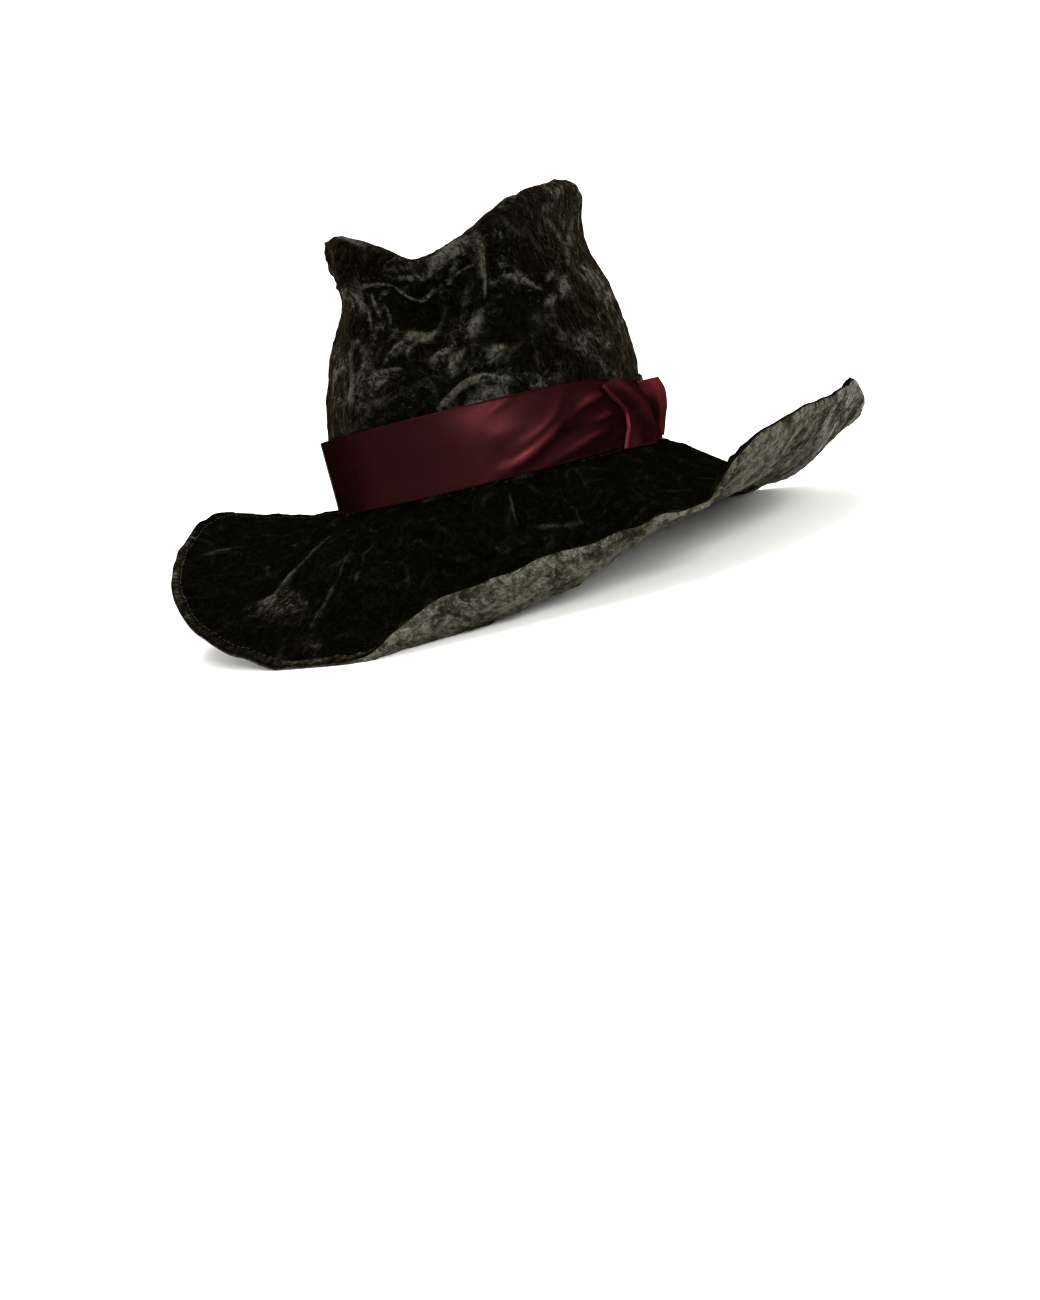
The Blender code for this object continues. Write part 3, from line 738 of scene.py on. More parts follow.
def crown_radius(sizes, azimuth, share):
    """Radius of the crown's outside at a share of the way up to its lip: sections with dents pressed in."""
    parts = [round_hat(azimuth, CROWN_SECTIONS, name) for name in CrownSection._fields[2:]]
    shares = np.stack([np.ones_like(azimuth)] + parts, axis=-1)
    radius = foot_radius(sizes, azimuth)[:, None] * smooth_through(share, CROWN_KNOTS, shares)
    for dent in CROWN_DENTS:
        turn = turned(azimuth, dent.azimuth)[:, None] / dent.spread
        climb = (share - dent.height) / dent.rise
        radius = radius - dent.depth * sizes.crown_width * np.exp(-(turn**2) - climb**2)
    return radius


def crown_surface(sizes, azimuth, side_rows, roll_rows, top_rows):
    """Outside of the crown: up the side, over a half circle at the rim and down into the centre dent.

    Returns the points, the shares of the way up that their rows stand for, and the height of the pole.
    """
    foot = sizes.crown_foot
    rim = foot + rim_height(sizes, azimuth)[:, None]
    share = np.linspace(0, 1, side_rows)
    lip_height = rim - sizes.rim_roll - foot
    side = place(azimuth[:, None], crown_radius(sizes, azimuth, share), foot + lip_height * share)

    turn = np.linspace(0, np.pi, roll_rows + 1)[1:]
    lip = crown_radius(sizes, azimuth, np.array([1.0]))
    roll = place(azimuth[:, None], lip - sizes.rim_roll * (1 - np.cos(turn)),
                 rim - sizes.rim_roll * (1 - np.sin(turn)))

    inward = np.linspace(0, 1, top_rows + 1)[1:-1]
    floor = foot + sizes.crown_height - sizes.centre_dent
    x, y, z = (roll[:, -1:, k] for k in range(3))
    top = np.stack([x * (1 - inward), y * (1 - inward**2), floor + (z - floor) * (1 - inward) ** 2], axis=-1)
    over = 1 + turn * sizes.rim_roll / sizes.crown_height
    shares = np.concatenate([share, over, over[-1] + inward * sizes.crown_width / 2 / sizes.crown_height])
    return np.concatenate([side, roll, top], axis=1), shares, floor


def brim_surface(sizes, azimuth, along):
    """Underside of the brim: its slope added up along the cloth, its ridges, and flat where it rests."""
    slopes = np.stack([round_hat(azimuth, BRIM_FOLDS, name) for name in BrimFold._fields[2:]], axis=-1)
    fine = np.linspace(0, 1, BRIM_STEPS + 1)
    middle = (fine[1:] + fine[:-1]) / 2
    angle = np.radians(smooth_through(middle, BRIM_KNOTS, slopes))
    step = (sizes.brim_width * round_hat(azimuth, BRIM_FOLDS, "reach") / len(middle))[:, None]
    run = np.pad(np.cumsum(np.cos(angle) * step, axis=1), ((0, 0), (1, 0)))
    drop = np.pad(np.cumsum(np.sin(angle) * step, axis=1), ((0, 0), (1, 0)))
    at = along * len(middle)
    low = np.minimum(at.astype(int), len(middle) - 1)
    part = at - low
    run = run[:, low] * (1 - part) + run[:, low + 1] * part
    drop = drop[:, low] * (1 - part) + drop[:, low + 1] * part
    ridges = np.zeros_like(run)
    for ridge in BRIM_RIDGES:
        across = turned(azimuth, ridge.azimuth)[:, None] / ridge.spread
        ahead = (along - ridge.middle) / ridge.length
        ridges += ridge.rise * sizes.brim_width * np.exp(-(across**2) - ahead**2)
    ripple = smooth_noise(place(azimuth, RIPPLE_RING, 0.0) / RIPPLE_SPACING, EDGE_SEED)[:, None]
    ridges += sizes.edge_ripple * ripple * ease(along, RIPPLE_START, 1.0)
    radius = foot_radius(sizes, azimuth)[:, None] + sizes.cloth_gap + run
    return place(azimuth[:, None], radius, np.maximum(sizes.crown_foot - drop + ridges, 0))


def ribbon_radius(sizes, azimuth, share):
    """Radius inside the ribbon at shares of its width, between hugging the crown and standing upright."""
    width = sizes.ribbon_width * np.broadcast_to(share, (len(azimuth), np.shape(share)[-1]))
    height = sizes.ribbon_foot - sizes.crown_foot + width
    hugging = crown_radius(sizes, azimuth, height / (rim_height(sizes, azimuth)[:, None] - sizes.rim_roll))
    upright = round_hat(azimuth, RIBBON_STATIONS, "upright")[:, None]
    stand = np.maximum(foot_radius(sizes, azimuth)[:, None] - hugging, 0) * upright
    return hugging + stand + sizes.ribbon_slack + sizes.cloth_gap


def ribbon_narrowing(azimuth):
    """How much of its width the ribbon keeps, gathered in at the bow: 1 less a bell curve."""
    return 1 - GATHER_SHARE * bell(turned(azimuth, GATHER_AZIMUTH), GATHER_SPREAD)


def ribbon_points(sizes, turn, share, stand):
    """Middle of a bow ribbon's cloth, a grid: turned from the bow's azimuth, up the band and off the band."""
    turn, share, stand = np.broadcast_arrays(turn, share, stand)
    azimuth = np.degrees(sizes.bow_azimuth) + turn
    band = ribbon_radius(sizes, azimuth.ravel(), share.ravel()[:, None])[:, 0].reshape(share.shape)
    gathers = creases(azimuth, share, RIBBON_CREASES, sizes.crown_width / 2, sizes.ribbon_width)
    radius = band + np.maximum(gathers, 0) + sizes.ribbon_thickness * 1.5 + sizes.cloth_gap + stand
    return place(azimuth, radius, sizes.ribbon_foot + sizes.ribbon_width * share)


def lifted(crush, fold, crush_share, full_fold):
    """How far cloth stands up, from 0 to 1: half on level cloth, more on ridges and less in grooves. The
    velvet is painted with a highlight where it is high.
    """
    return np.clip(0.5 + crush_share * crush + fold / full_fold, 0, 1)


def cloth_object(name, points, across, along, material, closed=(True, False), poles=None, **values):
    """A mesh from a grid of points, with a map of real lengths and named values at each point.

    across and along are the map's places of the columns and rows, one more than there are where the grid
    closes. poles are the points that close the first and the last row.
    """
    columns, rows = points.shape[:2]
    a, b = np.meshgrid(np.arange(columns - (not closed[0])), np.arange(rows - (not closed[1])), indexing="ij")
    corner_column = np.stack([a, a + 1, a + 1, a], axis=-1).reshape(-1, 4)
    corner_row = np.stack([b, b, b + 1, b + 1], axis=-1).reshape(-1, 4)
    faces = (corner_column % columns * rows + corner_row % rows).tolist()
    u, v = across[corner_column].ravel(), along[corner_row].ravel()
    vertices = points.reshape(-1, 3)
    if poles is not None:
        ring = np.arange(columns)
        for k, (pole, row) in enumerate(zip(poles, (0, rows - 1))):
            ends = [ring * rows + row, (ring + 1) % columns * rows + row, np.full(columns, len(vertices) + k)]
            ends = ends if row else [ends[1], ends[0], ends[2]]
            faces += np.stack(ends, axis=-1).tolist()
            u = np.concatenate([u, np.repeat(across[:columns], 3)])
            v = np.concatenate([v, np.full(columns * 3, along[row])])
        vertices = np.concatenate([vertices, poles])
    mesh = bpy.data.meshes.new(name)
    mesh.from_pydata(vertices.tolist(), [], faces)
    mesh.uv_layers.new(name="cloth").data.foreach_set("uv", np.stack([u, v], axis=-1).ravel())
    for key, value in values.items():
        filled = np.zeros(len(vertices))
        filled[:value.size] = value.ravel()
        mesh.attributes.new(key, "FLOAT", "POINT").data.foreach_set("value", filled)
    mesh.shade_smooth()
    mesh.materials.append(material)
    piece = bpy.data.objects.new(name, mesh)
    bpy.context.scene.collection.objects.link(piece)
    return piece


def thicken(piece, thickness):
    """Give an open sheet of cloth its thickness, half on each side."""
    wall = piece.modifiers.new("wall", "SOLIDIFY")
    wall.thickness = thickness
    wall.offset = 0


def add(tree, kind, inputs=None, **settings):
    """Add a node, set its settings, and give each named input its value or the socket that feeds it."""
    made = tree.nodes.new(kind)
    for key, value in settings.items():
        setattr(made, key, value)
    for key, value in (inputs or {}).items():
        if isinstance(value, bpy.types.NodeSocket):
            tree.links.new(value, made.inputs[key])
        else:
            made.inputs[key].default_value = value
    return made


def empty_material(name):
    """A material with only its output and shader: returns the material, its tree and its shader."""
    material = bpy.data.materials.new(name)
    material.use_nodes = True
    tree = material.node_tree
    return material, tree, tree.nodes["Principled BSDF"]


def mix_colours(tree, factor, low, high):
    """The colour between low and high at a factor."""
    mixed = add(tree, "ShaderNodeMix", data_type="RGBA")
    for socket, value in ((mixed.inputs["Factor"], factor), (mixed.inputs[6], low), (mixed.inputs[7], high)):
        if isinstance(value, bpy.types.NodeSocket):
            tree.links.new(value, socket)
        else:
            socket.default_value = value
    return mixed.outputs[2]


def ramped(tree, value, low, high, to_low=0.0, to_high=1.0):
    """A value carried smoothly from between low and high to between to_low and to_high."""
    node = add(tree, "ShaderNodeMapRange", {"Value": value, "From Min": low, "From Max": high,
                                            "To Min": to_low, "To Max": to_high},
               interpolation_type="SMOOTHSTEP")
    return node.outputs["Result"]


def maths(tree, operation, *values, clamp=False):
    """A sum or other calculation of up to three values."""
    return add(tree, "ShaderNodeMath", dict(enumerate(values)), operation=operation,
               use_clamp=clamp).outputs[0]


def noise(tree, at, size, detail=4.0, roughness=0.6, distortion=0.0):
    """Cloudy noise with patches about size across."""
    return add(tree, "ShaderNodeTexNoise", {"Vector": at, "Scale": 1 / size, "Detail": detail,
                                            "Roughness": roughness, "Distortion": distortion}).outputs["Fac"]


def folded(tree, at, size, detail, distortion):
    """Distance from the nearest fold of the pile, 0 on it: how far a noise is from its middle."""
    from_middle = maths(tree, "SUBTRACT", noise(tree, at, size, detail, 0.5, distortion), 0.5)
    return maths(tree, "ABSOLUTE", from_middle)


def crushed_velvet(name, shade, ground, light, sheen, pressed_and_lit_from, grooves_painted_dark):
    """Crushed velvet: the pile is pressed flat in random patches. It is black where it stands, and olive grey
    where it lies flat, partly its own crushed pattern and partly painted highlight. The upper velvet's sharp
    thin crushed ridges and raised crests get painted highlights, and the facing's crushed grooves get painted
    shade. A brown glow at its edges comes from the shader's sheen."""
    material, tree, shader = empty_material(name)
    spot = add(tree, "ShaderNodeTexCoord").outputs["Object"]
    cloth = add(tree, "ShaderNodeUVMap", uv_map="cloth").outputs["UV"]
    lift = add(tree, "ShaderNodeAttribute", attribute_name="lift").outputs["Fac"]
    # the placed patches of painted highlight and shade
    placed = add(tree, "ShaderNodeAttribute", attribute_name="pressed").outputs["Fac"]
    # wide patches of pile pressed one way are 20 mm across and small ones 5 mm
    wide = noise(tree, spot, 20 * MM, 3.0, 0.6, 0.8)
    patch = noise(tree, spot, 5 * MM, 5.0, 0.65, 1.2)
    # the pile stands in tufts 1.2 mm wide and 12 mm long, running up the crown
    tufts_at = add(tree, "ShaderNodeMapping", {"Vector": cloth,
                                               "Scale": (1 / (1.2 * MM), 1 / (12 * MM), 1.0)})
    tuft = noise(tree, tufts_at.outputs["Vector"], 1.0, 4.0, 0.6, 1.0)
    grain = noise(tree, spot, 0.9 * MM, 2.0, 0.7)
    # crushed ridges are about 11 mm and 4.5 mm apart
    coarse = folded(tree, spot, 11 * MM, 3.0, 1.2)
    fine = folded(tree, spot, 4.5 * MM, 2.0, 0.9)
    # thin lines along the crushed ridges: painted highlights on the upper velvet, painted shade in the
    # facing's grooves
    on_ridge = maths(tree, "MAXIMUM", ramped(tree, coarse, 0.0, 0.042, 1.0, 0.0),
                     ramped(tree, fine, 0.0, 0.055, 0.6, 0.0))
    # painted highlight on the crests that stand up
    raised = ramped(tree, lift, 0.60, 1.0)
    # the random crushed pattern, the cloth's own, plus the placed painted highlights and shade
    pressed = maths(tree, "ADD", maths(tree, "MULTIPLY", wide, 0.5), maths(tree, "MULTIPLY", patch, 0.5))
    pressed = maths(tree, "MULTIPLY_ADD", placed, 0.20, pressed)
    pressed = ramped(tree, pressed, pressed_and_lit_from, pressed_and_lit_from + 0.24)
    strands = ramped(tree, tuft, 0.35, 0.65)
    specks = ramped(tree, grain, 0.35, 0.65, 0.55, 1.0)
    # where the painted highlight goes: the facing's pressed pile, and the upper velvet's crushed ridges and
    # raised crests
    if grooves_painted_dark:
        painted_highlight = maths(tree, "MULTIPLY", pressed, specks)
    else:
        painted_highlight = maths(tree, "MULTIPLY", on_ridge, maths(tree, "MULTIPLY_ADD", pressed, 0.58, 0.02))
        crest = maths(tree, "MULTIPLY", raised, ramped(tree, patch, 0.36, 0.60, 0.05, 0.50))
        painted_highlight = maths(tree, "MULTIPLY", maths(tree, "MAXIMUM", painted_highlight, crest), specks, clamp=True)
    # olive grey where the pile lies flat: partly the crushed pattern, partly painted highlight
    base = mix_colours(tree, maths(tree, "MULTIPLY", pressed, specks), (*shade, 1), (*ground, 1))
    # painted highlight colour
    base = mix_colours(tree, painted_highlight, base, (*light, 1))
    # painted shade in the facing's crushed grooves
    if grooves_painted_dark:
        base = mix_colours(tree, maths(tree, "MULTIPLY", on_ridge, 0.8), base, (*shade, 1))
    tree.links.new(base, shader.inputs["Base Color"])
    tree.links.new(ramped(tree, pressed, 0.0, 1.0, 0.60, 0.42), shader.inputs["Roughness"])
    gloss = maths(tree, "MULTIPLY", pressed, specks)
    tree.links.new(ramped(tree, gloss, 0.0, 1.0, 0.0, 0.05), shader.inputs["Specular IOR Level"])
    height = maths(tree, "MULTIPLY", patch, 0.5)
    height = maths(tree, "MULTIPLY_ADD", coarse, 2.0 if grooves_painted_dark else -1.8, height)
    height = maths(tree, "MULTIPLY_ADD", fine, 0.6 if grooves_painted_dark else -0.5, height)
    height = maths(tree, "MULTIPLY_ADD", tuft, 0.20, height)
    height = maths(tree, "MULTIPLY_ADD", grain, 0.08, height)
    bump = add(tree, "ShaderNodeBump", {"Height": height, "Distance": 3 * MM, "Strength": 0.9})
    tree.links.new(bump.outputs["Normal"], shader.inputs["Normal"])
    glow = maths(tree, "MULTIPLY", ramped(tree, strands, 0.0, 1.0, 0.2, 1.0),
                 ramped(tree, placed, -0.25, 0.1, 0.0, 0.16))
    tree.links.new(glow, shader.inputs["Sheen Weight"])
    shader.inputs["Sheen Roughness"].default_value = 0.35
    shader.inputs["Sheen Tint"].default_value = (*sheen, 1)
    return material


def satin(name, look):
    """Woven polyester satin: long floats of thread lie side by side along the ribbon, so it shines softly on
    its folds, and fine looped threads close its lower edge. It has painted shade where its cloth is sunk and
    a painted highlight where its cloth stands up."""
    material, tree, shader = empty_material(name)
    cloth = add(tree, "ShaderNodeUVMap", uv_map="cloth").outputs["UV"]
    lift = add(tree, "ShaderNodeAttribute", attribute_name="lift").outputs["Fac"]
    # threads are drawn 0.5 mm apart, coarser than the real 0.1 mm, so that they show
    threads_at = add(tree, "ShaderNodeMapping", {"Vector": cloth,
                                                 "Scale": (1 / (12 * MM), 1 / (0.5 * MM), 1.0)})
    thread = noise(tree, threads_at.outputs["Vector"], 1.0, 2.0)
    split = add(tree, "ShaderNodeSeparateXYZ", {"Vector": cloth})
    # the looped edge is 1 mm deep, with a loop each 1.4 mm
    from_edge = maths(tree, "LESS_THAN", split.outputs["Y"], 1 * MM)
    loop = maths(tree, "SINE", maths(tree, "MULTIPLY", split.outputs["X"], 2 * np.pi / (1.4 * MM)))
    edge = maths(tree, "MULTIPLY", from_edge, ramped(tree, loop, -0.6, 0.8))
    # painted shade where the cloth is sunk
    base = mix_colours(tree, ramped(tree, lift, 0.15, 0.7), (*look.shade, 1), (*look.ground, 1))
    # the edge threads' own lighter colour, and a painted highlight where the cloth stands up
    edge_threads_and_highlight = maths(tree, "MAXIMUM", edge, ramped(tree, lift, 0.7, 1.0))
    base = mix_colours(tree, edge_threads_and_highlight, base, (*look.light, 1))
    tree.links.new(base, shader.inputs["Base Color"])
    tree.links.new(ramped(tree, thread, 0.3, 0.7, 0.32, 0.35), shader.inputs["Roughness"])
    height = maths(tree, "MULTIPLY_ADD", edge, 1.5, thread)
    bump = add(tree, "ShaderNodeBump", {"Height": height, "Distance": 0.2 * MM, "Strength": 0.2})
    tree.links.new(bump.outputs["Normal"], shader.inputs["Normal"])
    # dyed threads colour what they throw back, and throw back little to the side
    shader.inputs["Metallic"].default_value = 0.65
    shader.inputs["Specular IOR Level"].default_value = 0.0
    shader.inputs["Specular Tint"].default_value = (*look.edge, 1)
    shader.inputs["Anisotropic"].default_value = 0.4
    return material


def sewing_thread(name, shade):
    """Twisted polyester sewing thread: round, tight and dull, with its twist as fine specks."""
    material, tree, shader = empty_material(name)
    spot = add(tree, "ShaderNodeTexCoord").outputs["Object"]
    twist = add(tree, "ShaderNodeTexNoise", {"Vector": spot, "Scale": 1 / (0.6 * MM), "Detail": 1.0})
    base = mix_colours(tree, twist.outputs["Fac"], (*(c * 0.5 for c in shade), 1), (*shade, 1))
    tree.links.new(base, shader.inputs["Base Color"])
    shader.inputs["Roughness"].default_value = 0.7
    shader.inputs["Specular IOR Level"].default_value = 0.1
    return material


def upper_velvet(look):
    """The velvet of the crown and of the brim's top."""
    return bpy.data.materials.get("crushed velvet") or crushed_velvet(
        "crushed velvet", look.shade, look.ground, look.light, look.sheen, 0.50, False)


def maroon_satin(look):
    """The satin of the ribbon and its bow."""
    return bpy.data.materials.get("maroon satin ribbon") or satin("maroon satin ribbon", look)


def finish_piece(piece, node):
    """Let a piece stand for its solid and ride on the hat's body."""
    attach(piece, "root")
    if node:
        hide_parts(node)


class FEDORA_OT_crown(bpy.types.Operator):
    """Make the crushed-velvet crown, one hollow wall that is open below"""

    bl_idname = "fedora.crown"
    bl_label = "Make the crown"

    def execute(self, context):
        """Outside moved along its normals by crush and creases, then the plain inside, a wall away."""
        sizes, look = context.scene.fedora_sizes, context.scene.velvet_look
        azimuth = columns_round(CROWN_COLUMNS)
        base, share, floor = crown_surface(sizes, azimuth, CROWN_SIDE_ROWS, CROWN_ROLL_ROWS, CROWN_TOP_ROWS)
        out = -grid_normals(base)
        band_top = (sizes.ribbon_foot + sizes.ribbon_width - sizes.crown_foot) / sizes.crown_height
        bare = ease(share, band_top + CROWN_ROUGH_FROM, band_top + CROWN_ROUGH_TO)
        bare = bare * (1 - CROWN_TOP_LOSS * ease(share, CROWN_TOP_FROM, share[-1]))
        crush = crushed(base, CROWN_SEED)
        fold = creases(azimuth[:, None], share, CROWN_CREASES, sizes.crown_width / 2, sizes.crown_height)
        height = (sizes.crush_depth * crush + fold) * bare
        height = np.clip(height, -CROWN_GROOVE * sizes.crown_wall, CROWN_FOLD)
        outside = base + out * height[..., None]
        lift = lifted(crush, fold, *CROWN_LIFT)
        # painted highlights and shade of the crown's patches
        pressed = patches(azimuth[:, None], share, CROWN_PATCHES)

        rows = np.linspace(0, len(share) - 1, CROWN_INSIDE_ROWS).astype(int)
        inside = (base - out * sizes.crown_wall)[:, rows]
        points = np.concatenate([outside[:, ::-1], inside], axis=1)
        lift = np.concatenate([lift[:, ::-1], np.full(inside.shape[:2], HIDDEN_LIFT)], axis=1)
        pressed = np.concatenate([pressed[:, ::-1], np.zeros(inside.shape[:2])], axis=1)
        along = np.concatenate([share[::-1], -share[rows]]) * sizes.crown_height
        across = np.radians(np.append(azimuth, azimuth[0] + 360)) * sizes.crown_width / 2
        poles = np.array([(0, 0, floor), (0, 0, floor - sizes.crown_wall)])
        crown = cloth_object("velvet_crown", points, across, along, upper_velvet(look), poles=poles,
                             lift=lift, pressed=pressed)
        finish_piece(crown, "crown")
        return {"FINISHED"}


def brim_ply(sizes, name, seed, base_offset, face, material):
    """One ply of the brim: a sheet moved along its normals, closed at the crown and rounded at the edge.

    base_offset is the height of the ply's middle above the brim's underside. face is 1 where the ply is seen
    from above, and -1 where it is seen from below and lies flat on the floor.
    """
    azimuth = columns_round(BRIM_COLUMNS)
    edge = 2 * sizes.brim_ply / sizes.brim_width
    rounding = np.sin(np.linspace(0, np.pi / 2, BRIM_EDGE_ROWS + 1)[1:])
    along = np.concatenate([np.linspace(0, 1 - edge, BRIM_FINE_ROWS), 1 - edge + edge * rounding])
    under = brim_surface(sizes, azimuth, along)
    normal = grid_normals(under)
    half = sizes.brim_ply / 2 * np.sqrt(np.clip(1 - np.clip((along - 1 + edge) / edge, 0, 1) ** 2, 0, 1))
    half[0] = 0
    middle = under + normal * base_offset
    from_edge = (1 - along) * sizes.brim_width
    bare = ease(along, 0.01, 0.06) * (1 - ease(along, 1 - edge, 1))
    crush = crushed(under, seed)
    fold = face * creases(azimuth[:, None], along, BRIM_CREASES, BRIM_MIDDLE * sizes.crown_width / 2,
                          sizes.brim_width)
    hem = HEM_RISE * bell(from_edge - 0.5 * sizes.stitch_inset, HEM_SPREAD)
    seam = SEAM_DEPTH * bell(from_edge - sizes.stitch_inset, SEAM_SPREAD)
    drift = PUCKER_DRIFT * smooth_noise(under[:, -1] / PUCKER_DRIFT_SPACING, seed + 5)
    pucker = PUCKER_RISE * np.sin(np.radians(azimuth) * PUCKERS + drift)
    pucker = pucker[:, None] * bell(from_edge - sizes.stitch_inset, PUCKER_SPREAD)
    height = (sizes.crush_depth * crush + fold + hem - seam + pucker) * bare
    height = np.clip(height, -BRIM_GROOVE * sizes.brim_ply, BRIM_FOLD)
    shown = middle + face * normal * (half + height)[..., None]
    hidden_rows = np.linspace(len(along) - 2, 1, BRIM_HIDDEN_ROWS).astype(int)
    hidden = (middle - face * normal * half[:, None])[:, hidden_rows]
    points = np.concatenate([shown, hidden], axis=1)
    lift = lifted(crush, fold, *BRIM_LIFT)
    lift = np.concatenate([lift, np.full(hidden.shape[:2], HIDDEN_LIFT)], axis=1)
    pressed = np.zeros(points.shape[:2])
    if face > 0:
        # painted highlights of the brim's patches, over painted shade on the rest of its top
        pressed[:, :len(along)] = patches(azimuth[:, None], along, BRIM_PATCHES) - BRIM_TOP_PAINTED_SHADE
        points, lift, pressed = points[::-1], lift[::-1], pressed[::-1]
    else:
        points[..., 2] = np.maximum(points[..., 2], 0)
    path = np.concatenate([along, 2 - along[hidden_rows], [2.0]]) * sizes.brim_width
    across = np.radians(np.append(azimuth, azimuth[0] + 360)) * sizes.crown_width
    piece = cloth_object(name, points, across, path, material, closed=(True, True), lift=lift,
                         pressed=pressed)
    stitch_row = int(np.argmin(np.abs(from_edge - sizes.stitch_inset)))
    return piece, shown[:, stitch_row], face * normal[:, stitch_row]


def stitches(name, sizes, lines, material):
    """Rows of stitches in one mesh: ellipsoids at even steps along each line, long in its direction."""
    turn, rise = np.meshgrid(np.arange(STITCH_SIDES) * 2 * np.pi / STITCH_SIDES,
                             np.linspace(0, np.pi, STITCH_RINGS + 2)[1:-1], indexing="ij")
    long_, wide = STITCH_HALF_LENGTH * sizes.stitch_pitch, STITCH_HALF_WIDTH
    form = np.stack([long_ * np.cos(rise), wide * np.sin(rise) * np.cos(turn),
                     wide * np.sin(rise) * np.sin(turn)], axis=-1).reshape(-1, 3)
    form = np.concatenate([form, [(long_, 0, 0), (-long_, 0, 0)]])
    rings = np.arange(STITCH_SIDES * STITCH_RINGS).reshape(STITCH_SIDES, STITCH_RINGS)
    after = np.roll(rings, -1, axis=0)
    quads = np.stack([rings[:, :-1], rings[:, 1:], after[:, 1:], after[:, :-1]], axis=-1).reshape(-1, 4)
    first, last = np.full(STITCH_SIDES, len(form) - 2), np.full(STITCH_SIDES, len(form) - 1)
    tips = np.concatenate([np.stack([first, rings[:, 0], after[:, 0]], axis=-1),
                           np.stack([rings[:, -1], last, after[:, -1]], axis=-1)])
    vertices, faces = [], []
    for line, up in lines:
        ring = np.concatenate([line, line[:1]])
        travelled = np.concatenate([[0], np.cumsum(np.linalg.norm(np.diff(ring, axis=0), axis=1))])
        count = int(travelled[-1] / sizes.stitch_pitch)
        at = (np.arange(count) + 0.5) / count * travelled[-1]
        centre = np.stack([np.interp(at, travelled, ring[:, k]) for k in range(3)], axis=-1)
        up = np.concatenate([up, up[:1]])
        normal = np.stack([np.interp(at, travelled, up[:, k]) for k in range(3)], axis=-1)
        normal /= np.linalg.norm(normal, axis=1, keepdims=True)
        ahead = np.roll(centre, -1, axis=0) - np.roll(centre, 1, axis=0)
        ahead /= np.linalg.norm(ahead, axis=1, keepdims=True)
        aside = np.cross(normal, ahead)
        axes = np.stack([ahead, aside, normal], axis=1)
        placed = centre[:, None] + normal[:, None] * STITCH_PROUD
        placed = placed + np.einsum("vk,skx->svx", form, axes)
        # a stitch under the hat is pressed up into the cloth, level with the floor
        placed[..., 2] -= np.minimum(placed[..., 2].min(axis=1, keepdims=True), 0)
        start = sum(len(v) for v in vertices)
        vertices.append(placed.reshape(-1, 3))
        starts = start + np.arange(count)[:, None, None] * len(form)
        faces += (quads + starts).reshape(-1, 4).tolist() + (tips + starts).reshape(-1, 3).tolist()
    mesh = bpy.data.meshes.new(name)
    mesh.from_pydata(np.concatenate(vertices).tolist(), [], faces)
    mesh.shade_smooth()
    mesh.materials.append(material)
    piece = bpy.data.objects.new(name, mesh)
    bpy.context.scene.collection.objects.link(piece)
    return piece


class FEDORA_OT_brim(bpy.types.Operator):
    """Make the brim's two velvet plies and the stitching round its edge"""

    bl_idname = "fedora.brim"
    bl_label = "Make the brim"

    def execute(self, context):
        """Two closed plies, one over the other, and a row of stitches on each."""
        sizes, look = context.scene.fedora_sizes, context.scene.velvet_look
        facing_velvet = crushed_velvet("crushed velvet facing", look.facing_shade, look.facing_ground,
                                       look.facing_light, look.sheen, 0.40, True)
        upper, *upper_seam = brim_ply(sizes, "velvet_brim_upper", UPPER_SEED,
                                      1.5 * sizes.brim_ply + sizes.cloth_gap, 1, upper_velvet(look))
        facing, *facing_seam = brim_ply(sizes, "velvet_brim_facing", FACING_SEED,
                                        0.5 * sizes.brim_ply, -1, facing_velvet)
        thread = stitches("brim_stitching", sizes, [upper_seam, facing_seam],
                          sewing_thread("brown sewing thread", look.thread))
        finish_piece(upper, "brim_upper")
        finish_piece(facing, "brim_facing")
        finish_piece(thread, None)
        return {"FINISHED"}


class FEDORA_OT_ribbon(bpy.types.Operator):
    """Make the satin ribbon round the crown, gathered into the bow"""

    bl_idname = "fedora.ribbon"
    bl_label = "Make the ribbon"

    def execute(self, context):
        """The ribbon's curved surface, raised by its gathers."""
        sizes, look = context.scene.fedora_sizes, context.scene.satin_look
        azimuth = columns_round(BAND_COLUMNS)
        share = np.linspace(0, 1, BAND_ROWS)
        fold = creases(azimuth[:, None], share, RIBBON_CREASES, sizes.crown_width / 2, sizes.ribbon_width)
        radius = ribbon_radius(sizes, azimuth, share) + sizes.ribbon_thickness / 2
        radius = radius + np.maximum(fold, -GATHER_GROOVE * sizes.ribbon_slack)
        height = sizes.ribbon_foot + sizes.ribbon_width * share * ribbon_narrowing(azimuth)[:, None]
        points = place(azimuth[:, None], radius, height)
        across = np.radians(np.append(azimuth, azimuth[0] + 360)) * sizes.crown_width / 2
        lift = np.clip(GATHER_LEVEL_LIFT + fold / GATHER_FULL, 0, 1)
        band = cloth_object("satin_band", points, across, share * sizes.ribbon_width, maroon_satin(look),
                            lift=lift)
        thicken(band, sizes.ribbon_thickness)
        finish_piece(band, "ribbon_band")
        return {"FINISHED"}


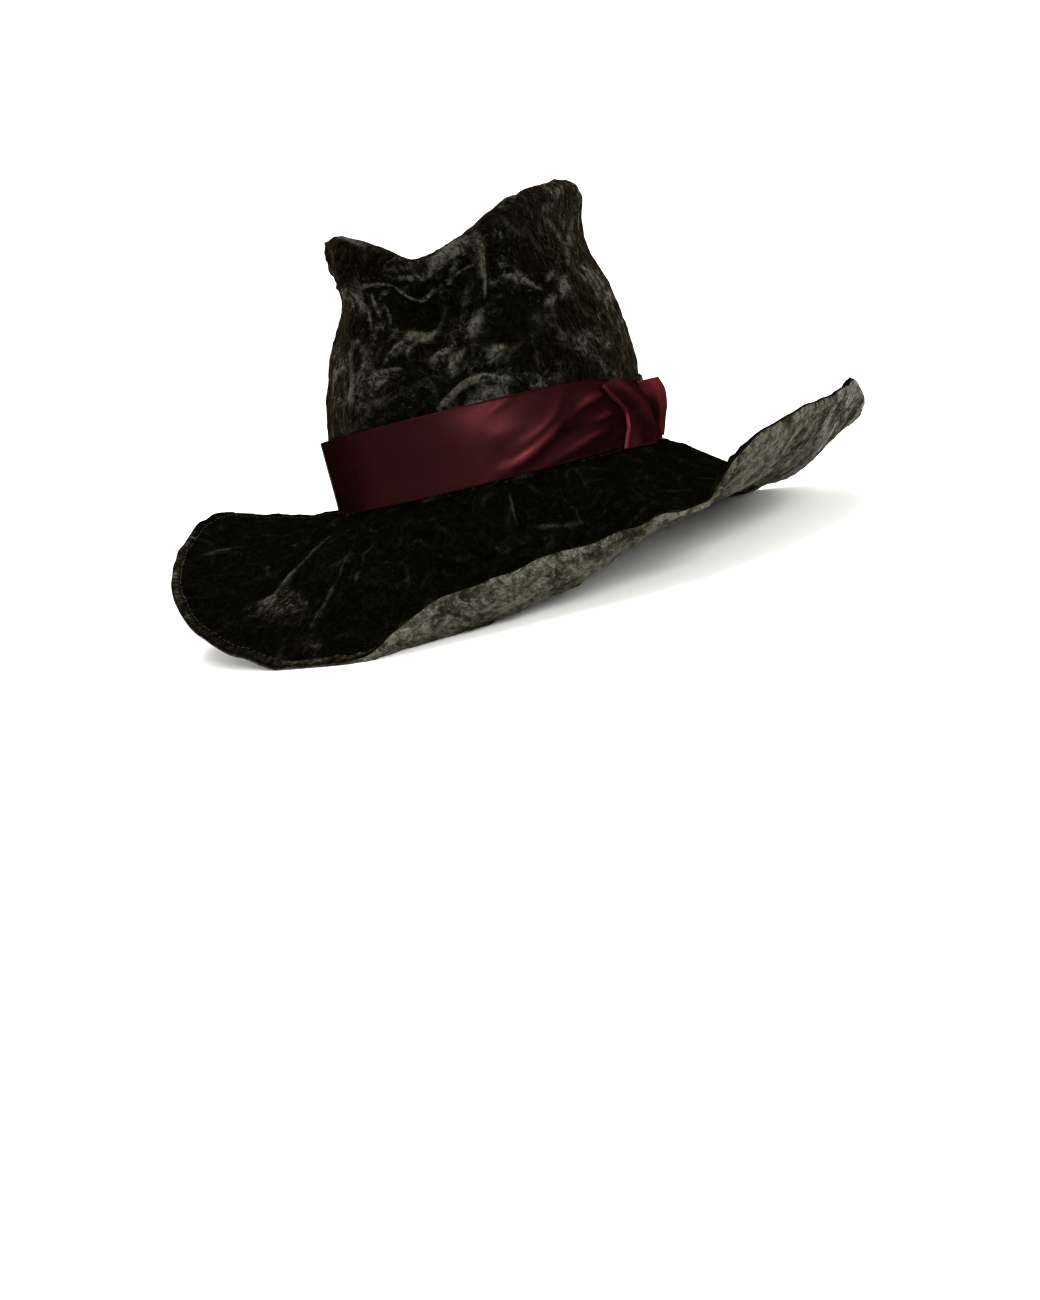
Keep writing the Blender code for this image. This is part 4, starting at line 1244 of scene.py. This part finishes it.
class FEDORA_OT_bow(bpy.types.Operator):
    """Make the flat bow: the wrap over the band, its loop and its short tail"""

    bl_idname = "fedora.bow"
    bl_label = "Make the bow"

    def execute(self, context):
        """The wrap runs from its left edge to its right, off the band by its stand times its rise. The loop
        runs from its inner edge out to its outer one and back behind, and the tail follows its path."""
        sizes, look = context.scene.fedora_sizes, context.scene.satin_look
        cloth = maroon_satin(look)
        rows, across = np.linspace(0, 1, WRAP_ROWS), np.linspace(0, 1, WRAP_COLUMNS) ** WRAP_CROWDING
        left, right, stand = evenly(BOW_WRAP, WRAP_ROWS)
        rise, low, high = (smooth_through(across, column(WRAP_ACROSS, "across"), column(WRAP_ACROSS, name))
                           [:, None] for name in WrapColumn._fields[1:])
        part = across[:, None]
        share = low + (high - low) * rows
        waves = WRAP_FOLD_WAVES[0] * part + WRAP_FOLD_WAVES[1] * rows
        fold = WRAP_FOLD * np.sin(2 * np.pi * waves) * np.sin(np.pi * part)
        points = ribbon_points(sizes, left + (right - left) * part, share,
                               sizes.bow_stand * stand * np.maximum(rise + fold, 0))
        lift = LIP_LIFT * bell(part - LIP_MIDDLE, LIP_SPREAD) + WRAP_LEVEL_LIFT + FOLD_LIFT * fold
        wrap = cloth_object("satin_wrap", points, across * WRAP_LENGTH, rows * sizes.ribbon_width, cloth,
                            closed=(False, False), lift=np.clip(lift, 0, 1))

        share, path = np.linspace(0, 1, LOOP_ROWS), np.linspace(0, 1, LOOP_COLUMNS)
        height, inner_turn, inner_stand, outer_turn, outer_stand = evenly(BOW_LOOP, LOOP_ROWS)
        way_out_turn = inner_turn + (outer_turn - inner_turn) * LOOP_WAY_OUT_TURN
        way_out_stand = inner_stand + (outer_stand - inner_stand) * LOOP_WAY_OUT_STAND
        turn = np.stack([inner_turn, way_out_turn, outer_turn,
                         *(np.full_like(share, t) for t in LOOP_BEHIND[:, 0])], axis=-1)
        stand = np.stack([inner_stand, way_out_stand, outer_stand,
                          *(outer_stand * s for s in LOOP_BEHIND[:, 1])], axis=-1)
        turn, stand = smooth_through(path, LOOP_KNOTS, turn), smooth_through(path, LOOP_KNOTS, stand)
        height = height[:, None]
        height = height + (0.5 - height) * LOOP_DRAW * ease(path, LOOP_DRAW_START, 1.0)
        points = ribbon_points(sizes, turn, height, sizes.bow_stand * stand).transpose(1, 0, 2)
        # painted shade inside the loop
        hollow = (1 - ease(path, *HOLLOW_PATH))[:, None] * bell(share - HOLLOW_MIDDLE, HOLLOW_SPREAD)
        loop = cloth_object("satin_loop", points, path * LOOP_LENGTH, share * sizes.ribbon_width, cloth,
                            closed=(False, False), lift=1 - hollow)

        turn, stand, low, high = (values[:, None] for values in evenly(BOW_TAIL, TAIL_COLUMNS))
        share = np.linspace(0, 1, TAIL_ROWS)
        points = ribbon_points(sizes, turn, low + (high - low) * share, sizes.bow_stand * stand)
        tail = cloth_object("satin_tail", points, np.linspace(0, TAIL_LENGTH, TAIL_COLUMNS),
                            share * TAIL_WIDTH, cloth, closed=(False, False),
                            lift=np.full(points.shape[:2], TAIL_LIFT))
        for piece, node in ((wrap, "bow_wrap"), (loop, "bow_loop"), (tail, "bow_tail")):
            thicken(piece, sizes.ribbon_thickness)
            finish_piece(piece, node)
        return {"FINISHED"}


def camera_axes(look):
    """Right, up and forward of the camera: turned, pitched, then rolled about its line of sight."""
    azimuth, yaw, pitch, roll = look.azimuth, look.yaw, look.pitch, look.roll
    towards = np.array([-np.sin(azimuth), np.cos(azimuth), 0])
    aside = np.array([np.cos(azimuth), np.sin(azimuth), 0])
    level = towards * np.cos(yaw) - aside * np.sin(yaw)
    right = aside * np.cos(yaw) + towards * np.sin(yaw)
    up = np.array([0, 0, 1])
    forward = level * np.cos(pitch) - up * np.sin(pitch)
    above = up * np.cos(pitch) + level * np.sin(pitch)
    return right * np.cos(roll) - above * np.sin(roll), above * np.cos(roll) + right * np.sin(roll), forward


SoftLight = namedtuple("SoftLight", "name azimuth elevation distance size power")
SOFT_LIGHTS = [
    SoftLight("key", 60, 22, 1.6, 0.6, 30.0),
    SoftLight("top", 20, 72, 1.5, 0.7, 12.0),
    SoftLight("back", 215, 40, 1.8, 1.2, 10.0),
]
# The backdrop's own light hangs over the hat and shines on the wall behind it. Its place and its mark are
# distances behind the hat.
WALL_LIGHT_HEIGHT = 2.0
WALL_LIGHT_POWER = 90.0
WALL_LIGHT_SIZE = 1.2
WALL_LIGHT_BEHIND = 0.3
WALL_MARK_BEHIND = 2.2
WALL_MARK_HEIGHT = 0.6
DAYLIGHT = 0.25
FILM_LONG_SIDE = 36.0
NEAREST_SEEN = 0.01
# The stage's floor: radius of its middle, rows of its level part and of its curve, and columns round it
FLOOR_MIDDLE = 0.02
FLOOR_ROWS = 12
COVE_ROWS = 24
FLOOR_COLUMNS = 96
PAPER_SHADE = 0.985


def aim(direction):
    """A turn that points an object's -Z axis along a direction."""
    return Vector(direction.tolist()).to_track_quat("-Z", "Y").to_matrix().to_4x4()


class FEDORA_OT_stage(bpy.types.Operator):
    """Make the camera, the soft lights and the pale floor that curves up into a backdrop"""

    bl_idname = "fedora.stage"
    bl_label = "Make the stage"

    def execute(self, context):
        """The floor is a profile turned round the hat: level, a quarter circle, then straight up."""
        scene = context.scene
        look = scene.stage_look
        right, up, forward = camera_axes(look)
        camera = bpy.data.objects.new("camera", bpy.data.cameras.new("camera"))
        camera.data.sensor_width = FILM_LONG_SIDE
        camera.data.lens = look.focal
        camera.data.clip_start = NEAREST_SEEN
        spot = (look.distance * np.sin(look.azimuth), -look.distance * np.cos(look.azimuth), look.eye)
        axes = np.eye(4)
        axes[:3, 0], axes[:3, 1], axes[:3, 2], axes[:3, 3] = right, up, -forward, spot
        camera.matrix_world = Matrix(axes.tolist())
        scene.collection.objects.link(camera)
        scene.camera = camera

        for soft in SOFT_LIGHTS:
            light = bpy.data.objects.new(soft.name, bpy.data.lights.new(soft.name, "AREA"))
            light.data.energy = soft.power
            light.data.size = soft.size
            spot = place(np.array(soft.azimuth), soft.distance * np.cos(np.radians(soft.elevation)),
                         soft.distance * np.sin(np.radians(soft.elevation)))
            light.matrix_world = Matrix.Translation(spot.tolist()) @ aim(-spot)
            light.visible_camera = False
            scene.collection.objects.link(light)
        wall = bpy.data.objects.new("wall light", bpy.data.lights.new("wall light", "AREA"))
        wall.data.energy = WALL_LIGHT_POWER
        wall.data.size = WALL_LIGHT_SIZE
        behind = place(np.degrees(look.azimuth) + 180, 1.0, 0.0)
        wall.matrix_world = Matrix.Translation((*behind[:2] * WALL_LIGHT_BEHIND, WALL_LIGHT_HEIGHT)) @ aim(
            behind * WALL_MARK_BEHIND + (0, 0, WALL_MARK_HEIGHT - WALL_LIGHT_HEIGHT))
        wall.visible_camera = False
        scene.collection.objects.link(wall)
        world = bpy.data.worlds.new("soft daylight")
        world.use_nodes = True
        background = world.node_tree.nodes["Background"]
        background.inputs["Color"].default_value = (1, 1, 1, 1)
        background.inputs["Strength"].default_value = DAYLIGHT
        scene.world = world
        scene.view_settings.view_transform = "Standard"

        angle = np.linspace(0, np.pi / 2, COVE_ROWS)[1:]
        radius = np.concatenate([np.linspace(FLOOR_MIDDLE, look.floor_radius, FLOOR_ROWS),
                                 look.floor_radius + look.cove_radius * np.sin(angle),
                                 [look.floor_radius + look.cove_radius]])
        height = np.concatenate([np.zeros(FLOOR_ROWS), look.cove_radius * (1 - np.cos(angle)),
                                 [look.cove_radius + look.wall_height]])
        azimuth = np.arange(FLOOR_COLUMNS) * 360 / FLOOR_COLUMNS
        points = place(azimuth[:, None], radius, height)
        material, tree, shader = empty_material("matt white paper")
        paper = add(tree, "ShaderNodeTexNoise", {"Scale": 3.0, "Detail": 2.0})
        tone = mix_colours(tree, paper.outputs["Fac"], (*(c * PAPER_SHADE for c in look.floor), 1),
                           (*look.floor, 1))
        tree.links.new(tone, shader.inputs["Base Color"])
        shader.inputs["Roughness"].default_value = 0.9
        floor = cloth_object("floor", points, np.linspace(0, 1, FLOOR_COLUMNS + 1), radius, material)
        return {"FINISHED"}


class FEDORA_PT_panel(bpy.types.Panel):
    """Lists the hat's sizes, its colours and the steps that make it"""

    bl_idname = "FEDORA_PT_panel"
    bl_label = "Fedora"
    bl_space_type = "VIEW_3D"
    bl_region_type = "UI"
    bl_category = "Fedora"

    def draw(self, context):
        """One button for each step, then every size and colour."""
        for step in STEPS:
            self.layout.operator(step.bl_idname)
        for name, group in LOOKS.items():
            box = self.layout.box()
            for key in group.__annotations__:
                box.prop(getattr(context.scene, name), key)


LOOKS = {"fedora_sizes": FedoraSizes, "velvet_look": VelvetLook, "satin_look": SatinLook,
         "stage_look": StageLook}
STEPS = (FEDORA_OT_stage, FEDORA_OT_crown, FEDORA_OT_brim, FEDORA_OT_ribbon, FEDORA_OT_bow)


def register():
    """Add the classes, and the sizes and colours, to the scene."""
    for cls in (*LOOKS.values(), *STEPS, FEDORA_PT_panel):
        bpy.utils.register_class(cls)
    for name, group in LOOKS.items():
        setattr(bpy.types.Scene, name, bpy.props.PointerProperty(type=group))


def unregister():
    """Take them away again."""
    for name in LOOKS:
        delattr(bpy.types.Scene, name)
    for cls in (FEDORA_PT_panel, *reversed(STEPS), *reversed(LOOKS.values())):
        bpy.utils.unregister_class(cls)


def main():
    """Make the hat step by step."""
    register()
    bpy.ops.fedora.stage()
    bpy.ops.fedora.crown()
    bpy.ops.fedora.brim()
    bpy.ops.fedora.ribbon()
    bpy.ops.fedora.bow()


if __name__ == "__main__":
    main()
